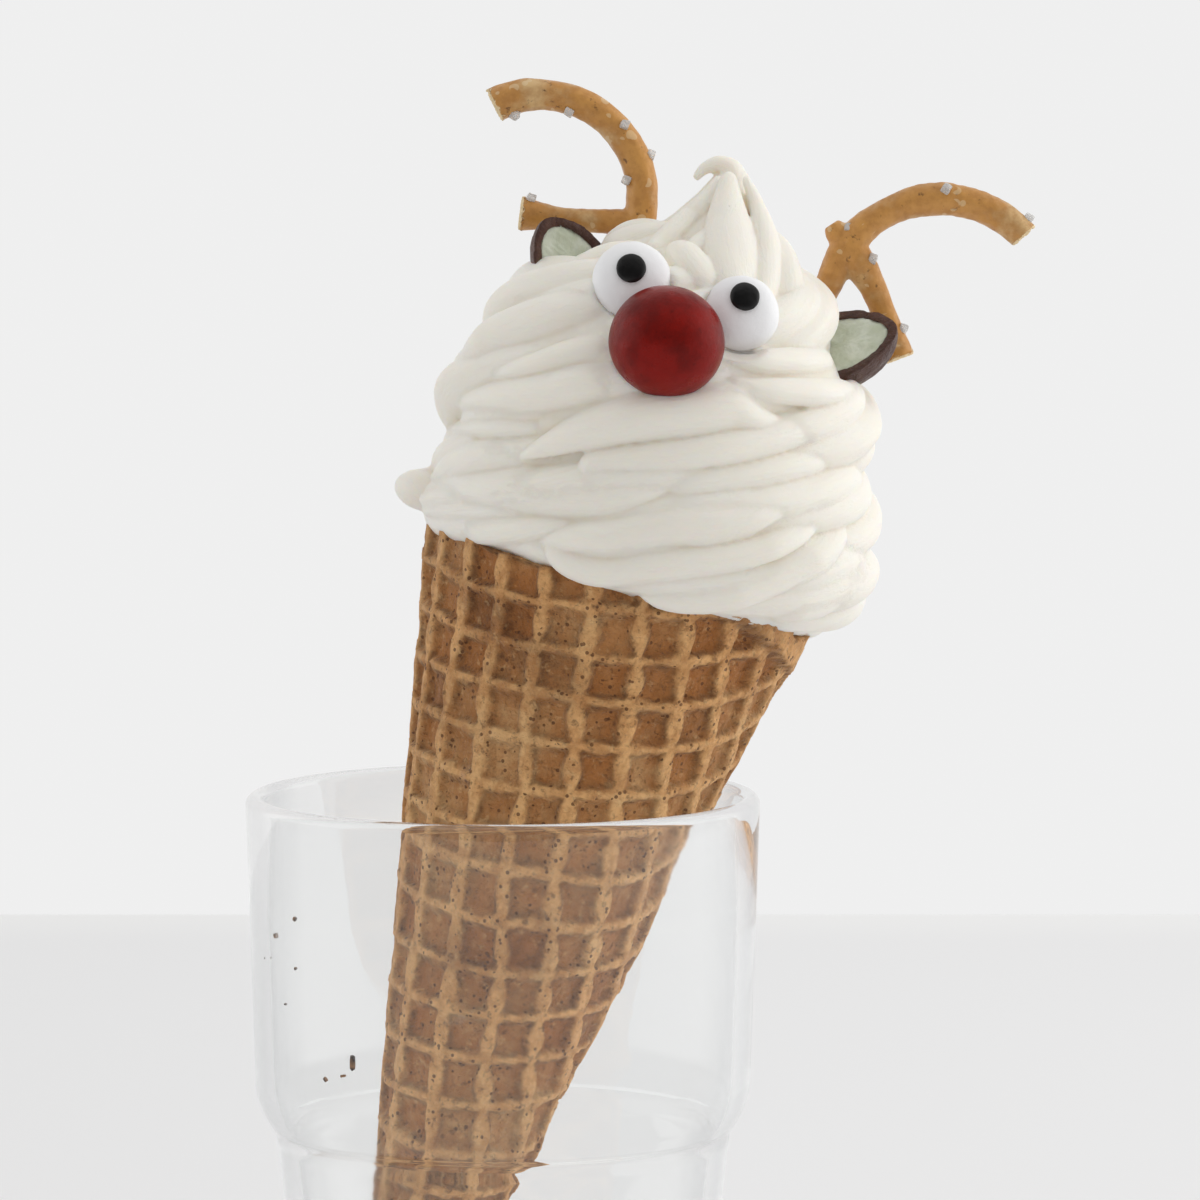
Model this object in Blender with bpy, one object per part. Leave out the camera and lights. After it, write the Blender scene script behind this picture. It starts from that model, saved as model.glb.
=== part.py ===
"""Soft serve in a waffle cone, decorated as a reindeer and standing in a glass tumbler.

The glass stands on the origin. The cone leans in it, and everything above hangs on two
empties: cone_tip at the cone's point and cone_mouth at the middle of its open end.
"""
import math

import bmesh
import bpy
from mathutils import Matrix, Vector

MM = 0.001
GAP = 0.3                     # air between neighbouring pieces

# Driving sizes in millimetres and degrees
GLASS_HEIGHT = 126.0
GLASS_RIM_RADIUS = 42.5
GLASS_WALL = 3.1
GLASS_FLOOR = 9.0
CONE_POINT = Vector((-25.9, -1.2, 4.65))
CONE_LEAN_RIGHT = 15.94
CONE_LEAN_BACK = 3.5
CONE_HALF_ANGLE = 11.34
CONE_LENGTH = 163.0
WAFER = 2.5
SWIRL_TURNS = 4.3
NOSE_RADIUS = 9.4
EYE_RADIUS = 6.4
PUPIL_RADIUS = 2.4


def remove_all():
    for item in list(bpy.data.objects):
        bpy.data.objects.remove(item, do_unlink=True)


def material(name, colour, roughness, transmission=0.0):
    made = bpy.data.materials.new(name)
    made.use_nodes = True
    shader = made.node_tree.nodes["Principled BSDF"]
    shader.inputs["Base Color"].default_value = (*colour, 1.0)
    shader.inputs["Roughness"].default_value = roughness
    shader.inputs["Metallic"].default_value = 0.0
    shader.inputs["Transmission Weight"].default_value = transmission
    made.diffuse_color = (*colour, 1.0)
    return made


def mesh_object(name, points, faces, parent=None, paint=None):
    """A closed solid from points in millimetres, in its parent's frame."""
    mesh = bpy.data.meshes.new(name)
    mesh.from_pydata([tuple(Vector(point) * MM) for point in points], [], faces)
    shape = bmesh.new()
    shape.from_mesh(mesh)
    bmesh.ops.remove_doubles(shape, verts=shape.verts, dist=0.00001)
    bmesh.ops.recalc_face_normals(shape, faces=shape.faces)
    shape.to_mesh(mesh)
    shape.free()
    made = bpy.data.objects.new(name, mesh)
    bpy.context.scene.collection.objects.link(made)
    made.parent = parent
    if paint:
        mesh.materials.append(paint)
    return made


def tube(rings):
    """Points and faces of a tube through the rings, shut at both ends by fans."""
    around = len(rings[0])
    points = [Vector(point) for ring in rings for point in ring]
    faces = []
    for row in range(len(rings) - 1):
        for column in range(around):
            beside = (column + 1) % around
            start, above = row * around, (row + 1) * around
            faces.append((start + column, start + beside, above + beside, above + column))
    for row, ring in ((0, rings[0]), (len(rings) - 1, rings[-1])):
        middle = len(points)
        points.append(sum((Vector(point) for point in ring), Vector()) / around)
        for column in range(around):
            beside = (column + 1) % around
            faces.append((middle, row * around + column, row * around + beside))
    return points, faces


def turned(profile, around):
    """Points and faces of a solid of revolution about Z from (radius, height) pairs.
    The profile starts and ends on the axis."""
    points, faces = [Vector((0, 0, profile[0][1]))], []
    for radius, height in profile[1:-1]:
        for column in range(around):
            angle = 2 * math.pi * column / around
            points.append(Vector((radius * math.cos(angle), radius * math.sin(angle), height)))
    points.append(Vector((0, 0, profile[-1][1])))
    rows = len(profile) - 2
    for column in range(around):
        beside = (column + 1) % around
        faces.append((0, 1 + beside, 1 + column))
        last = 1 + (rows - 1) * around
        faces.append((len(points) - 1, last + column, last + beside))
        for row in range(rows - 1):
            start, above = 1 + row * around, 1 + (row + 1) * around
            faces.append((start + column, start + beside, above + beside, above + column))
    return points, faces


def along(knots, place):
    """A smooth value between (place, value) knots."""
    places = [knot[0] for knot in knots]
    values = [knot[1] for knot in knots]
    if place <= places[0]:
        return values[0]
    if place >= places[-1]:
        return values[-1]
    index = max(i for i in range(len(knots) - 1) if places[i] <= place)
    span = places[index + 1] - places[index]
    share = (place - places[index]) / span

    def slope(at):
        low, high = max(at - 1, 0), min(at + 1, len(knots) - 1)
        return (values[high] - values[low]) / (places[high] - places[low]) * span

    square, cube = share ** 2, share ** 3
    return ((2 * cube - 3 * square + 1) * values[index] + (cube - 2 * square + share) * slope(index)
            + (3 * square - 2 * cube) * values[index + 1] + (cube - square) * slope(index + 1))


def apply_modifiers(item):
    """Bakes an object's modifiers into its mesh."""
    graph = bpy.context.evaluated_depsgraph_get()
    mesh = bpy.data.meshes.new_from_object(item.evaluated_get(graph))
    item.modifiers.clear()
    item.data = mesh


def combine(item, others, operation):
    """Joins other solids to an object, or cuts them from it, and removes them."""
    group = bpy.data.collections.new(item.name + "_others")
    bpy.context.scene.collection.children.link(group)
    for other in others:
        bpy.context.scene.collection.objects.unlink(other)
        group.objects.link(other)
    change = item.modifiers.new("combine", "BOOLEAN")
    change.operation = operation
    change.solver = "EXACT"
    change.operand_type = "COLLECTION"
    change.collection = group
    bpy.context.view_layer.update()
    apply_modifiers(item)
    for other in others:
        bpy.data.objects.remove(other, do_unlink=True)
    bpy.data.collections.remove(group)


def keep_largest(item):
    """Drops loose scraps that a cut leaves."""
    shape = bmesh.new()
    shape.from_mesh(item.data)
    left, pieces = set(shape.verts), []
    while left:
        piece, edge = set(), [left.pop()]
        while edge:
            point = edge.pop()
            piece.add(point)
            for link in point.link_edges:
                other = link.other_vert(point)
                if other in left:
                    left.remove(other)
                    edge.append(other)
        pieces.append(piece)
    pieces.sort(key=len)
    for piece in pieces[:-1]:
        bmesh.ops.delete(shape, geom=list(piece), context="VERTS")
    shape.to_mesh(item.data)
    shape.free()


# Tumbler: a plain stackable glass, wide above its shoulder and narrower below
SHOULDER_TOP, SHOULDER_FOOT = 78.0, 70.4


def tumbler_outside(height):
    """The outer radius at a height."""
    if height >= SHOULDER_TOP:
        return along([(SHOULDER_TOP, 40.9), (GLASS_HEIGHT, GLASS_RIM_RADIUS)], height)
    if height > SHOULDER_FOOT:
        share = (SHOULDER_TOP - height) / (SHOULDER_TOP - SHOULDER_FOOT)
        return 40.9 - 2.7 * (1 - math.cos(share * math.pi / 2)) - 0.3 * share
    return along([(4.0, 30.5), (10.0, 31.4), (40.0, 34.2), (58.0, 36.1), (SHOULDER_FOOT, 37.6)], height)


def tumbler(paint):
    lip = GLASS_WALL / 2
    profile = [(0, 0), (28.0, 0), (29.8, 1.2), (30.5, 4.0)]
    profile += [(tumbler_outside(height), height) for height in (10, 40, SHOULDER_FOOT)]
    profile += [(tumbler_outside(height), height) for height in (71.4, 73.4, 75.6, SHOULDER_TOP)]
    profile.append((tumbler_outside(GLASS_HEIGHT - lip), GLASS_HEIGHT - lip))
    for step in range(1, 4):
        angle = math.pi * step / 4
        middle = tumbler_outside(GLASS_HEIGHT - lip) - lip
        profile.append((middle + lip * math.cos(angle), GLASS_HEIGHT - lip + lip * math.sin(angle)))
    inside = (GLASS_HEIGHT - lip, SHOULDER_TOP, 75.0, 72.0, SHOULDER_FOOT - 2, 40, 14)
    profile += [(tumbler_outside(height) - GLASS_WALL, height) for height in inside]
    profile += [(26.5, GLASS_FLOOR + 0.8), (23.5, GLASS_FLOOR), (0, GLASS_FLOOR)]
    return mesh_object("tumbler", *turned(profile, 40), paint=paint)


# Waffle cone: a rolled wafer with a grid of square pockets pressed into its outside
RIB = 2.3                     # width of the ribs between the pockets
POCKET_DEPTH = 1.1
COLUMN_STEP, ROW_STEP = 8.27, 7.74
COLUMN_START, ROW_START = 22.4, 159.35
GRID_TURN = math.radians(9.21)
LAP = 0.8                     # how far the outer layer's edge stands out
TIP_CUT = 36.0                # no pockets nearer the point than this


def unrolled_to_cone(across, down, lift):
    """A place on the flat wafer, rolled onto the cone."""
    sine = math.sin(math.radians(CONE_HALF_ANGLE))
    flat_x = math.cos(GRID_TURN) * across - math.sin(GRID_TURN) * down
    flat_y = math.sin(GRID_TURN) * across + math.cos(GRID_TURN) * down
    slant = math.hypot(flat_x, flat_y)
    angle = math.atan2(flat_x, flat_y) / sine
    outward = Vector((math.sin(angle), -math.cos(angle), 0))
    half = math.radians(CONE_HALF_ANGLE)
    surface = outward * slant * sine + Vector((0, 0, slant * math.cos(half)))
    return surface + lift * (outward * math.cos(half) - Vector((0, 0, math.sin(half))))


def lap_edge(height):
    """The angle from the front, in degrees, of the outer layer's edge: it leaves the rim at the
    front right, passes the right side just below it, and runs down the back to the point."""
    near_rim = min(1.0, (CONE_LENGTH - height) / 8.2)
    return 26.0 + 64.0 * near_rim + 140.0 * max(0.0, (154.8 - height) / 150.0) ** 0.8


def lap(parent):
    """The outer layer's edge: a wedge along its line that thins out over the layer below."""
    slope = math.tan(math.radians(CONE_HALF_ANGLE))
    rings = []
    for height in (CONE_LENGTH - 0.1, 160.0, 157.0, 154.0, 145.0, 120.0, 90.0, 60.0, 40.0):
        ring = []
        for past, lift in ((0, LAP), (0, -0.8), (16, -0.8), (34, -0.8), (20, LAP * 0.4)):
            angle = math.radians(lap_edge(height) + past)
            radius = height * slope + lift
            ring.append(Vector((radius * math.sin(angle), -radius * math.cos(angle), height)))
        rings.append(ring)
    return mesh_object("lap", *tube(rings), parent)


def cone_wall(name, parent, outward, inward, paint=None, top=CONE_LENGTH):
    """The wafer's wall as a hollow cone, with its faces moved out and in by a margin."""
    slope = math.tan(math.radians(CONE_HALF_ANGLE))
    hollow_foot = (WAFER + inward) / slope + 1.0
    profile = [(0, 5.2), (10.0 * slope + outward, 10.0), (top * slope + outward, top),
               (top * slope - WAFER - inward, top), (0, hollow_foot)]
    return mesh_object(name, *turned(profile, 30), parent, paint)


def pocket(across, down, parent):
    """A cutter for one pocket, square to the surface and narrower at its floor."""
    middle = unrolled_to_cone(across, down, 0.0)
    sideways = (unrolled_to_cone(across + 0.5, down, 0.0) - middle).normalized()
    outward = (unrolled_to_cone(across, down, 1.0) - middle).normalized()
    lengthways = outward.cross(sideways)
    points = []
    for lift, spread in ((-POCKET_DEPTH, -0.45), (LAP + 1.0, 0.3)):
        wide, tall = (COLUMN_STEP - RIB) / 2 + spread, (ROW_STEP - RIB) / 2 + spread
        for sign_side, sign_length in ((-1, -1), (1, -1), (1, 1), (-1, 1)):
            points.append(middle + sign_side * wide * sideways + sign_length * tall * lengthways + lift * outward)
    faces = [(0, 1, 2, 3), (7, 6, 5, 4), (0, 4, 5, 1), (1, 5, 6, 2), (2, 6, 7, 3), (3, 7, 4, 0)]
    return mesh_object("pocket", points, faces, parent)


def waffle_cone(tip, paint):
    cone = cone_wall("waffle_cone", tip, 0.0, 0.0, paint)
    half_turn = math.pi * math.sin(math.radians(CONE_HALF_ANGLE))
    slant = CONE_LENGTH / math.cos(math.radians(CONE_HALF_ANGLE))
    cutters = []
    for column in range(-40, 40):
        for row in range(-5, 40):
            across = COLUMN_START + (column + 0.5) * COLUMN_STEP
            down = ROW_START - (row + 0.5) * ROW_STEP
            flat_x = math.cos(GRID_TURN) * across - math.sin(GRID_TURN) * down
            flat_y = math.sin(GRID_TURN) * across + math.cos(GRID_TURN) * down
            distance, angle = math.hypot(flat_x, flat_y), math.atan2(flat_x, flat_y)
            margin = 3.5 / max(distance, 1)
            if TIP_CUT < distance < slant + 1 and abs(angle) < half_turn - margin:
                cutters.append(pocket(across, down, tip))
    combine(cone, cutters, "DIFFERENCE")
    combine(cone, [lap(tip)], "UNION")
    keep_largest(cone)
    return cone


# Soft serve: a star-shaped rope piped round and round, drawn up to a pleated peak
LOBES = 7
LOBE_REACH, LOBE_RADIUS = 6.2, 3.6
ROPE_TWIST = 1.35             # turns of the rope about itself for each turn of the swirl
SWIRL_LEAN = math.radians(4.0)
SWIRL_START = math.radians(190.0)
# By turns of the swirl: the rope's distance from the axis, its height, and its size
ROPE_FROM_AXIS = [(0, 35.0), (0.12, 31.5), (0.3, 29.0), (0.5, 31.0), (1, 27.5), (1.5, 29.0), (2, 27.0),
                  (2.5, 25.0), (3, 21.5), (3.5, 15.5), (4, 7.0), (SWIRL_TURNS, 2.0)]
ROPE_HEIGHT = [(0, 6.0), (0.12, 5.2), (0.5, 6.5), (1, 12.0), (1.5, 18.0), (2, 26.0), (2.5, 32.0),
               (3, 38.5), (3.5, 46.0), (4, 51.5), (SWIRL_TURNS, 55.0)]
ROPE_SIZE = [(0, 0.34), (0.1, 0.6), (0.3, 0.92), (0.5, 1.0), (3, 1.05), (3.5, 1.0), (4, 0.75),
             (SWIRL_TURNS, 0.4)]
FORWARD_LEAN = 3.0            # the upper turns lie this much nearer the face
PEAK_RADIUS = [(44, 20.0), (50, 17.5), (55, 14.3), (60, 10.0), (64, 6.4), (67, 4.2), (69.3, 2.6), (70.6, 1.2)]
CORE_RADIUS = [(-1, 29), (10, 31), (30, 27), (40, 20), (51, 10)]
PLEATS = 7
# The peak's tip curls over to the left: across, height and radius
CURL = [(0.9, 64.5, 3.6), (0.6, 67.5, 2.9), (-0.4, 69.6, 2.0), (-2.6, 70.0, 1.4), (-4.6, 68.6, 1.0),
        (-5.6, 66.6, 0.6)]
CREAM_VOXEL = 0.9
CREAM_TRIANGLES = 2700


def lobe_distance(angle, turn):
    """How far the rope's star section reaches at an angle about the rope."""
    reach = 6.5
    for lobe in range(LOBES):
        middle = 2 * math.pi * lobe / LOBES + 0.16 * math.sin(2.4 * lobe + 4.1 * turn)
        radius = LOBE_RADIUS + 0.55 * math.sin(1.9 * lobe + 2.3 * turn)
        off = (angle - middle + math.pi) % (2 * math.pi) - math.pi
        under = radius ** 2 - (LOBE_REACH * math.sin(off)) ** 2
        if under > 0 and math.cos(off) > 0:
            reach = max(reach, LOBE_REACH * math.cos(off) + math.sqrt(under))
    return reach


def rope_middle(turn):
    angle = SWIRL_START + 2 * math.pi * turn
    distance = along(ROPE_FROM_AXIS, turn) + 0.6 * math.sin(5.1 * turn + 1)
    height = along(ROPE_HEIGHT, turn)
    forward = FORWARD_LEAN * min(1.0, max(0.0, (height - 18) / 25))
    place = Vector((distance * math.cos(angle) + 1.5, distance * math.sin(angle) - forward, height))
    return Matrix.Rotation(-SWIRL_LEAN, 3, "Y") @ place


def rope_rings(steps, around):
    rings = []
    upward = Matrix.Rotation(-SWIRL_LEAN, 3, "Y") @ Vector((0, 0, 1))
    for step in range(steps + 1):
        turn = SWIRL_TURNS * step / steps
        middle = rope_middle(turn)
        ahead = (rope_middle(turn + 0.002) - rope_middle(turn - 0.002)).normalized()
        outward = ahead.cross(upward).normalized()
        side = outward.cross(ahead)
        ring = []
        for column in range(around):
            angle = 2 * math.pi * column / around
            reach = lobe_distance(angle - 2 * math.pi * ROPE_TWIST * turn, turn)
            reach *= along(ROPE_SIZE, turn)
            ring.append(middle + reach * (math.cos(angle) * outward + math.sin(angle) * side))
        rings.append(ring)
    return rings


def peak_rings(rows, around):
    rings = []
    low, high = PEAK_RADIUS[0][0], PEAK_RADIUS[-1][0]
    for row in range(rows + 1):
        height = low + (high - low) * row / rows
        middle = Vector((4.6 - (height - low) * 0.16, -2.0 + (height - low) * 0.06, height))
        ring = []
        for column in range(around):
            angle = 2 * math.pi * column / around
            turned_by = angle - (height - low) * 0.055
            pleat = 0.5 + 0.5 * math.cos(PLEATS * turned_by + 1.5 * math.sin(2 * angle))
            reach = along(PEAK_RADIUS, height) * (0.76 + 0.24 * pleat ** 0.6)
            ring.append(middle + reach * Vector((math.cos(angle), math.sin(angle), 0)))
        rings.append(ring)
    return rings


def curl_rings(rows, around):
    """The thin end of the cream, bent over beside the peak."""
    spots = [index / (len(CURL) - 1) for index in range(len(CURL))]
    rings = []

    def middle(share):
        return Vector((along(list(zip(spots, [knot[0] for knot in CURL])), share), -0.6,
                       along(list(zip(spots, [knot[1] for knot in CURL])), share)))

    for row in range(rows + 1):
        share = row / rows
        ahead = (middle(min(share + 0.01, 1)) - middle(max(share - 0.01, 0))).normalized()
        back = Vector((0, 1, 0))
        side = ahead.cross(back).normalized()
        radius = along(list(zip(spots, [knot[2] for knot in CURL])), share)
        angles = [2 * math.pi * column / around for column in range(around)]
        rings.append([middle(share) + radius * (math.cos(angle) * side + 1.25 * math.sin(angle) * back)
                      for angle in angles])
    return rings


def core_rings(rows, around):
    """The cream behind the rope, so that the swirl is solid."""
    rings = []
    low, high = CORE_RADIUS[0][0], CORE_RADIUS[-1][0]
    for row in range(rows + 1):
        height = low + (high - low) * row / rows
        reach = along(CORE_RADIUS, height)
        middle = Vector((1.5 - height * 0.05, 0, height))
        rings.append([middle + reach * Vector((math.cos(2 * math.pi * column / around),
                                               math.sin(2 * math.pi * column / around), 0))
                      for column in range(around)])
    return rings


def plug_rings(around):
    """The cream inside the wafer, its sides still inside the wafer's wall."""
    slope = math.tan(math.radians(CONE_HALF_ANGLE))
    rings = []
    for height in (20.0, 60.0, 100.0, CONE_LENGTH + 2):
        radius = height * slope - WAFER + 0.6
        rings.append([Vector((radius * math.cos(2 * math.pi * column / around),
                              radius * math.sin(2 * math.pi * column / around),
                              height - CONE_LENGTH)) for column in range(around)])
    return rings


def soft_serve(mouth, paint):
    points, faces = [], []
    shapes = (rope_rings(220, 56), peak_rings(40, 72), curl_rings(24, 16), core_rings(16, 40), plug_rings(40))
    for rings in shapes:
        more_points, more_faces = tube(rings)
        start = len(points)
        points += more_points
        faces += [tuple(start + index for index in face) for face in more_faces]
    cream = mesh_object("soft_serve", points, faces, mouth, paint)
    join = cream.modifiers.new("join", "REMESH")
    join.mode = "VOXEL"
    join.voxel_size = CREAM_VOXEL * MM
    apply_modifiers(cream)
    triangles = sum(len(face.vertices) - 2 for face in cream.data.polygons)
    coarsen = cream.modifiers.new("coarsen", "DECIMATE")
    coarsen.ratio = CREAM_TRIANGLES / triangles
    apply_modifiers(cream)
    return cream


# Face: a red candy nose and two domed candy eyes with black pupils
NOSE_PLACE = Vector((-3.5, -34.0, 39.1))
EYES = {
    "left": {"place": Vector((-11.4, -24.6, 47.1)), "pupil": Vector((-0.7, 1.5, 0)), "radius": EYE_RADIUS},
    "right": {"place": Vector((6.9, -25.6, 46.8)), "pupil": Vector((-0.2, 2.4, 0)), "radius": 6.2},
}
EYE_DEPTH = 3.4


def ball(name, place, toward, wide, deep, mouth, paint=None, rows=9, around=18):
    """A ball or lens whose short axis points toward a direction."""
    profile = [(0, deep)] + [(wide * math.sin(math.pi * row / rows), deep * math.cos(math.pi * row / rows))
                             for row in range(1, rows)] + [(0, -deep)]
    turn = toward.to_track_quat("Z", "Y").to_matrix()
    points, faces = turned(profile, around)
    made = mesh_object(name, [turn @ point + place for point in points], faces, mouth, paint)
    return made


def face(mouth, nose_paint, white, black):
    """The nose, the eyes and the pupils, and the cutters that make room for them."""
    forward = Vector((0, -1, 0.09))
    ball("candy_nose", NOSE_PLACE, Vector((0, 0, 1)), NOSE_RADIUS, NOSE_RADIUS * 0.97, mouth, nose_paint)
    cutters = [ball("cut", NOSE_PLACE, Vector((0, 0, 1)), NOSE_RADIUS + 0.4, NOSE_RADIUS * 0.97 + 0.4, mouth)]
    for side, eye in EYES.items():
        radius = eye["radius"]
        ball("eye_" + side, eye["place"], forward, radius, EYE_DEPTH, mouth, white, 7, 16)
        cutters.append(ball("cut", eye["place"], forward, radius + 0.4, EYE_DEPTH + 0.4, mouth, None, 7, 16))
        turn = forward.to_track_quat("Z", "Y").to_matrix()
        off = eye["pupil"]
        dome = EYE_DEPTH * math.sqrt(1 - (off.length / radius) ** 2)
        lean = Vector((off.x / radius ** 2, off.y / radius ** 2, dome / EYE_DEPTH ** 2)).normalized()
        place = Vector((off.x, off.y, dome)) + lean * (GAP + 0.45)
        ball("pupil_" + side, eye["place"] + turn @ place, turn @ lean, PUPIL_RADIUS, 0.5, mouth, black, 4, 12)
    return cutters


# Antlers: broken pretzel pieces with coarse salt, one piece a side, behind the cone's axis
ANTLER_BACK = 9.5
STRANDS = {
    "left": [
        {"arc": (-29.4, 56.9, 17.1, 134, -28), "radii": (3.0, 2.8)},
        {"line": ((-32.3, 53.4), (-22.8, 54.9), (-13.2, 57.2)), "radii": (2.6, 2.1)},
    ],
    "right": [
        {"arc": (40.1, 56.6, 19.1, 57, 158), "radii": (2.7, 2.6)},
        {"line": ((21.8, 63.7), (28.7, 57.1), (36.0, 47.2)), "radii": (2.6, 2.4)},
        {"line": ((21.9, 63.3), (20.5, 54.2), (17.4, 44.0)), "radii": (2.3, 1.8)},
        {"line": ((22.7, 61.9), (20.6, 64.3), (17.9, 66.7)), "radii": (2.5, 2.0)},
    ],
}
# Each crystal is on a strand, so far along it, at an angle around it in degrees
SALT = {
    "left": [(0, 0.07, 200), (0, 0.29, 215), (0, 0.48, -60), (0, 0.60, -10), (0, 0.66, 210), (1, 0.1, -20)],
    "right": [(0, 0.46, 235), (0, 0.06, 190), (3, 0.6, 215), (1, 0.25, -40), (1, 0.8, -20)],
}
SALT_SIZE = 1.7


def strand_middle(strand, share):
    """A place along a strand, right of and above the mouth's middle."""
    if "arc" in strand:
        across, up, radius, start, end = strand["arc"]
        angle = math.radians(start + (end - start) * share)
        return Vector((across + radius * math.cos(angle), ANTLER_BACK, up + radius * math.sin(angle)))
    places = strand["line"]
    spots = [index / (len(places) - 1) for index in range(len(places))]
    return Vector((along(list(zip(spots, [place[0] for place in places])), share), ANTLER_BACK,
                   along(list(zip(spots, [place[1] for place in places])), share)))


def pretzel(name, strand, mouth, spare=0.0, paint=None, steps=9, around=10):
    """A round strand, or the cutter for it when spare is more than 0."""
    rings = []
    back = Vector((0, 1, 0))
    for step in range(steps + 1):
        share = step / steps
        ahead = strand_middle(strand, min(share + 0.01, 1)) - strand_middle(strand, max(share - 0.01, 0))
        side = ahead.normalized().cross(back)
        radius = strand["radii"][0] + (strand["radii"][1] - strand["radii"][0]) * share + spare
        middle = strand_middle(strand, share)
        if spare and step in (0, steps):
            middle += ahead.normalized() * (spare if step else -spare)
        angles = [2 * math.pi * column / around for column in range(around)]
        rings.append([middle + radius * (math.cos(angle) * side + math.sin(angle) * back) for angle in angles])
    return mesh_object(name, *tube(rings), mouth, paint)


def salt_crystal(strand, share, angle, turn, mouth):
    """One crystal half sunk in a strand, as a cube set askew."""
    half = SALT_SIZE / 2
    back = Vector((0, 1, 0))
    ahead = strand_middle(strand, share + 0.01) - strand_middle(strand, share - 0.01)
    radius = strand["radii"][0] + (strand["radii"][1] - strand["radii"][0]) * share
    outward = math.cos(angle) * ahead.normalized().cross(back) + math.sin(angle) * back
    place = strand_middle(strand, share) + radius * outward
    spin = Matrix.Rotation(turn, 3, "X") @ Matrix.Rotation(turn * 1.7, 3, "Z")
    sides = (-half, half)
    points = [spin @ Vector((x, y, z)) + place for x in sides for y in sides for z in sides]
    faces = [(0, 1, 3, 2), (4, 6, 7, 5), (0, 4, 5, 1), (2, 3, 7, 6), (0, 2, 6, 4), (1, 5, 7, 3)]
    return mesh_object("salt", points, faces, mouth)


def antlers(mouth, paint):
    cutters = []
    for side, strands in STRANDS.items():
        antler = pretzel("antler_" + side, strands[0], mouth, 0.0, paint, steps=15)
        others = [pretzel("strand", strand, mouth, steps=5) for strand in strands[1:]]
        for index, (number, share, angle) in enumerate(SALT[side]):
            others.append(salt_crystal(strands[number], share, math.radians(angle), 0.7 + index, mouth))
        combine(antler, others, "UNION")
        cutters += [pretzel("cut", strand, mouth, 0.45) for strand in strands]
    return cutters


# Ears: halves of a small chocolate egg with a pale mint filling, cut face forward, tip outward
SHELL = 1.6
EGG_TAPER = 0.22
# The middle, the way the cut face looks, the tip's turn from upright, half length and half width
EARS = {
    "left": {"place": Vector((-21.6, -4.0, 47.6)), "toward": Vector((0.40, -0.88, 0.20)), "tip": 47,
             "length": 8.3, "width": 6.6},
    "right": {"place": Vector((25.0, -4.0, 47.2)), "toward": Vector((-0.47, -0.68, 0.56)), "tip": -50,
              "length": 9.4, "width": 7.5},
}


def dome_profile(inner=0.0, rows=5):
    """A bowl's profile of radius 1 about Z, open face at height 0, or a solid dome's if inner is 0."""
    profile = [(0, -1.0)]
    for row in range(1, rows + 1):
        angle = math.pi / 2 * row / rows
        profile.append((math.sin(angle), -math.cos(angle)))
    for row in range(rows, 0, -1):
        if inner:
            angle = math.pi / 2 * row / rows
            profile.append((inner * math.sin(angle), -inner * math.cos(angle)))
    profile.append((0, -inner))
    return profile


def half_egg(name, ear, inset, thick, forward, mouth, paint=None):
    """Half an egg, its skin moved in by inset, hollow with a wall when thick is more than 0."""
    length, width = ear["length"] - inset, ear["width"] - inset
    turn = ear["toward"].to_track_quat("Z", "Y").to_matrix() @ Matrix.Rotation(math.radians(ear["tip"]), 3, "Z")
    points, faces = turned(dome_profile(0.5 if thick else 0.0), 18)
    places = []
    for point in points:
        inner = thick if thick and point.length < 0.75 else 0.0
        grow = 2.0 if inner else 1.0
        long = point.y * grow * (length - inner)
        across = point.x * grow * (width - inner) * (1 - EGG_TAPER * long / length)
        deep = point.z * grow * (width - inner)
        places.append(turn @ Vector((across, long, deep + forward)) + ear["place"])
    return mesh_object(name, places, faces, mouth, paint)


def ears(mouth, chocolate, mint):
    cutters = []
    for side, ear in EARS.items():
        half_egg("ear_shell_" + side, ear, 0.0, SHELL, 0.0, mouth, chocolate)
        half_egg("ear_filling_" + side, ear, SHELL + GAP, 0.0, -0.15, mouth, mint)
        cutters.append(half_egg("cut", ear, -0.45, 0.0, 0.4, mouth))
    return cutters


def hang_empties():
    """The empties at the cone's point and at the middle of its mouth."""
    up = Vector((math.tan(math.radians(CONE_LEAN_RIGHT)), math.tan(math.radians(CONE_LEAN_BACK)), 1))
    up.normalize()
    back = (Vector((0, 1, 0)) - up * up.y).normalized()
    right = back.cross(up)
    turn = Matrix((right, back, up)).transposed()
    tip = bpy.data.objects.new("cone_tip", None)
    tip.location = CONE_POINT * MM
    tip.rotation_euler = turn.to_euler()
    mouth = bpy.data.objects.new("cone_mouth", None)
    mouth.parent = tip
    mouth.location = (0, 0, CONE_LENGTH * MM)
    for empty in (tip, mouth):
        bpy.context.scene.collection.objects.link(empty)
    return tip, mouth


remove_all()
GLASS = material("clear glass", (0.86, 0.9, 0.9), 0.03, 1.0)
WAFER_BROWN = material("baked wafer", (0.5, 0.3, 0.16), 0.65)
CREAM_WHITE = material("soft serve cream", (0.93, 0.9, 0.84), 0.45)
CANDY_RED = material("red candy", (0.36, 0.03, 0.02), 0.35)
CANDY_WHITE = material("white candy", (0.85, 0.87, 0.9), 0.3)
CANDY_BLACK = material("black candy", (0.012, 0.012, 0.014), 0.3)
PRETZEL_BROWN = material("pretzel", (0.5, 0.27, 0.09), 0.45)
CHOCOLATE = material("chocolate", (0.07, 0.025, 0.018), 0.4)
MINT = material("mint filling", (0.52, 0.55, 0.42), 0.7)

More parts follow.
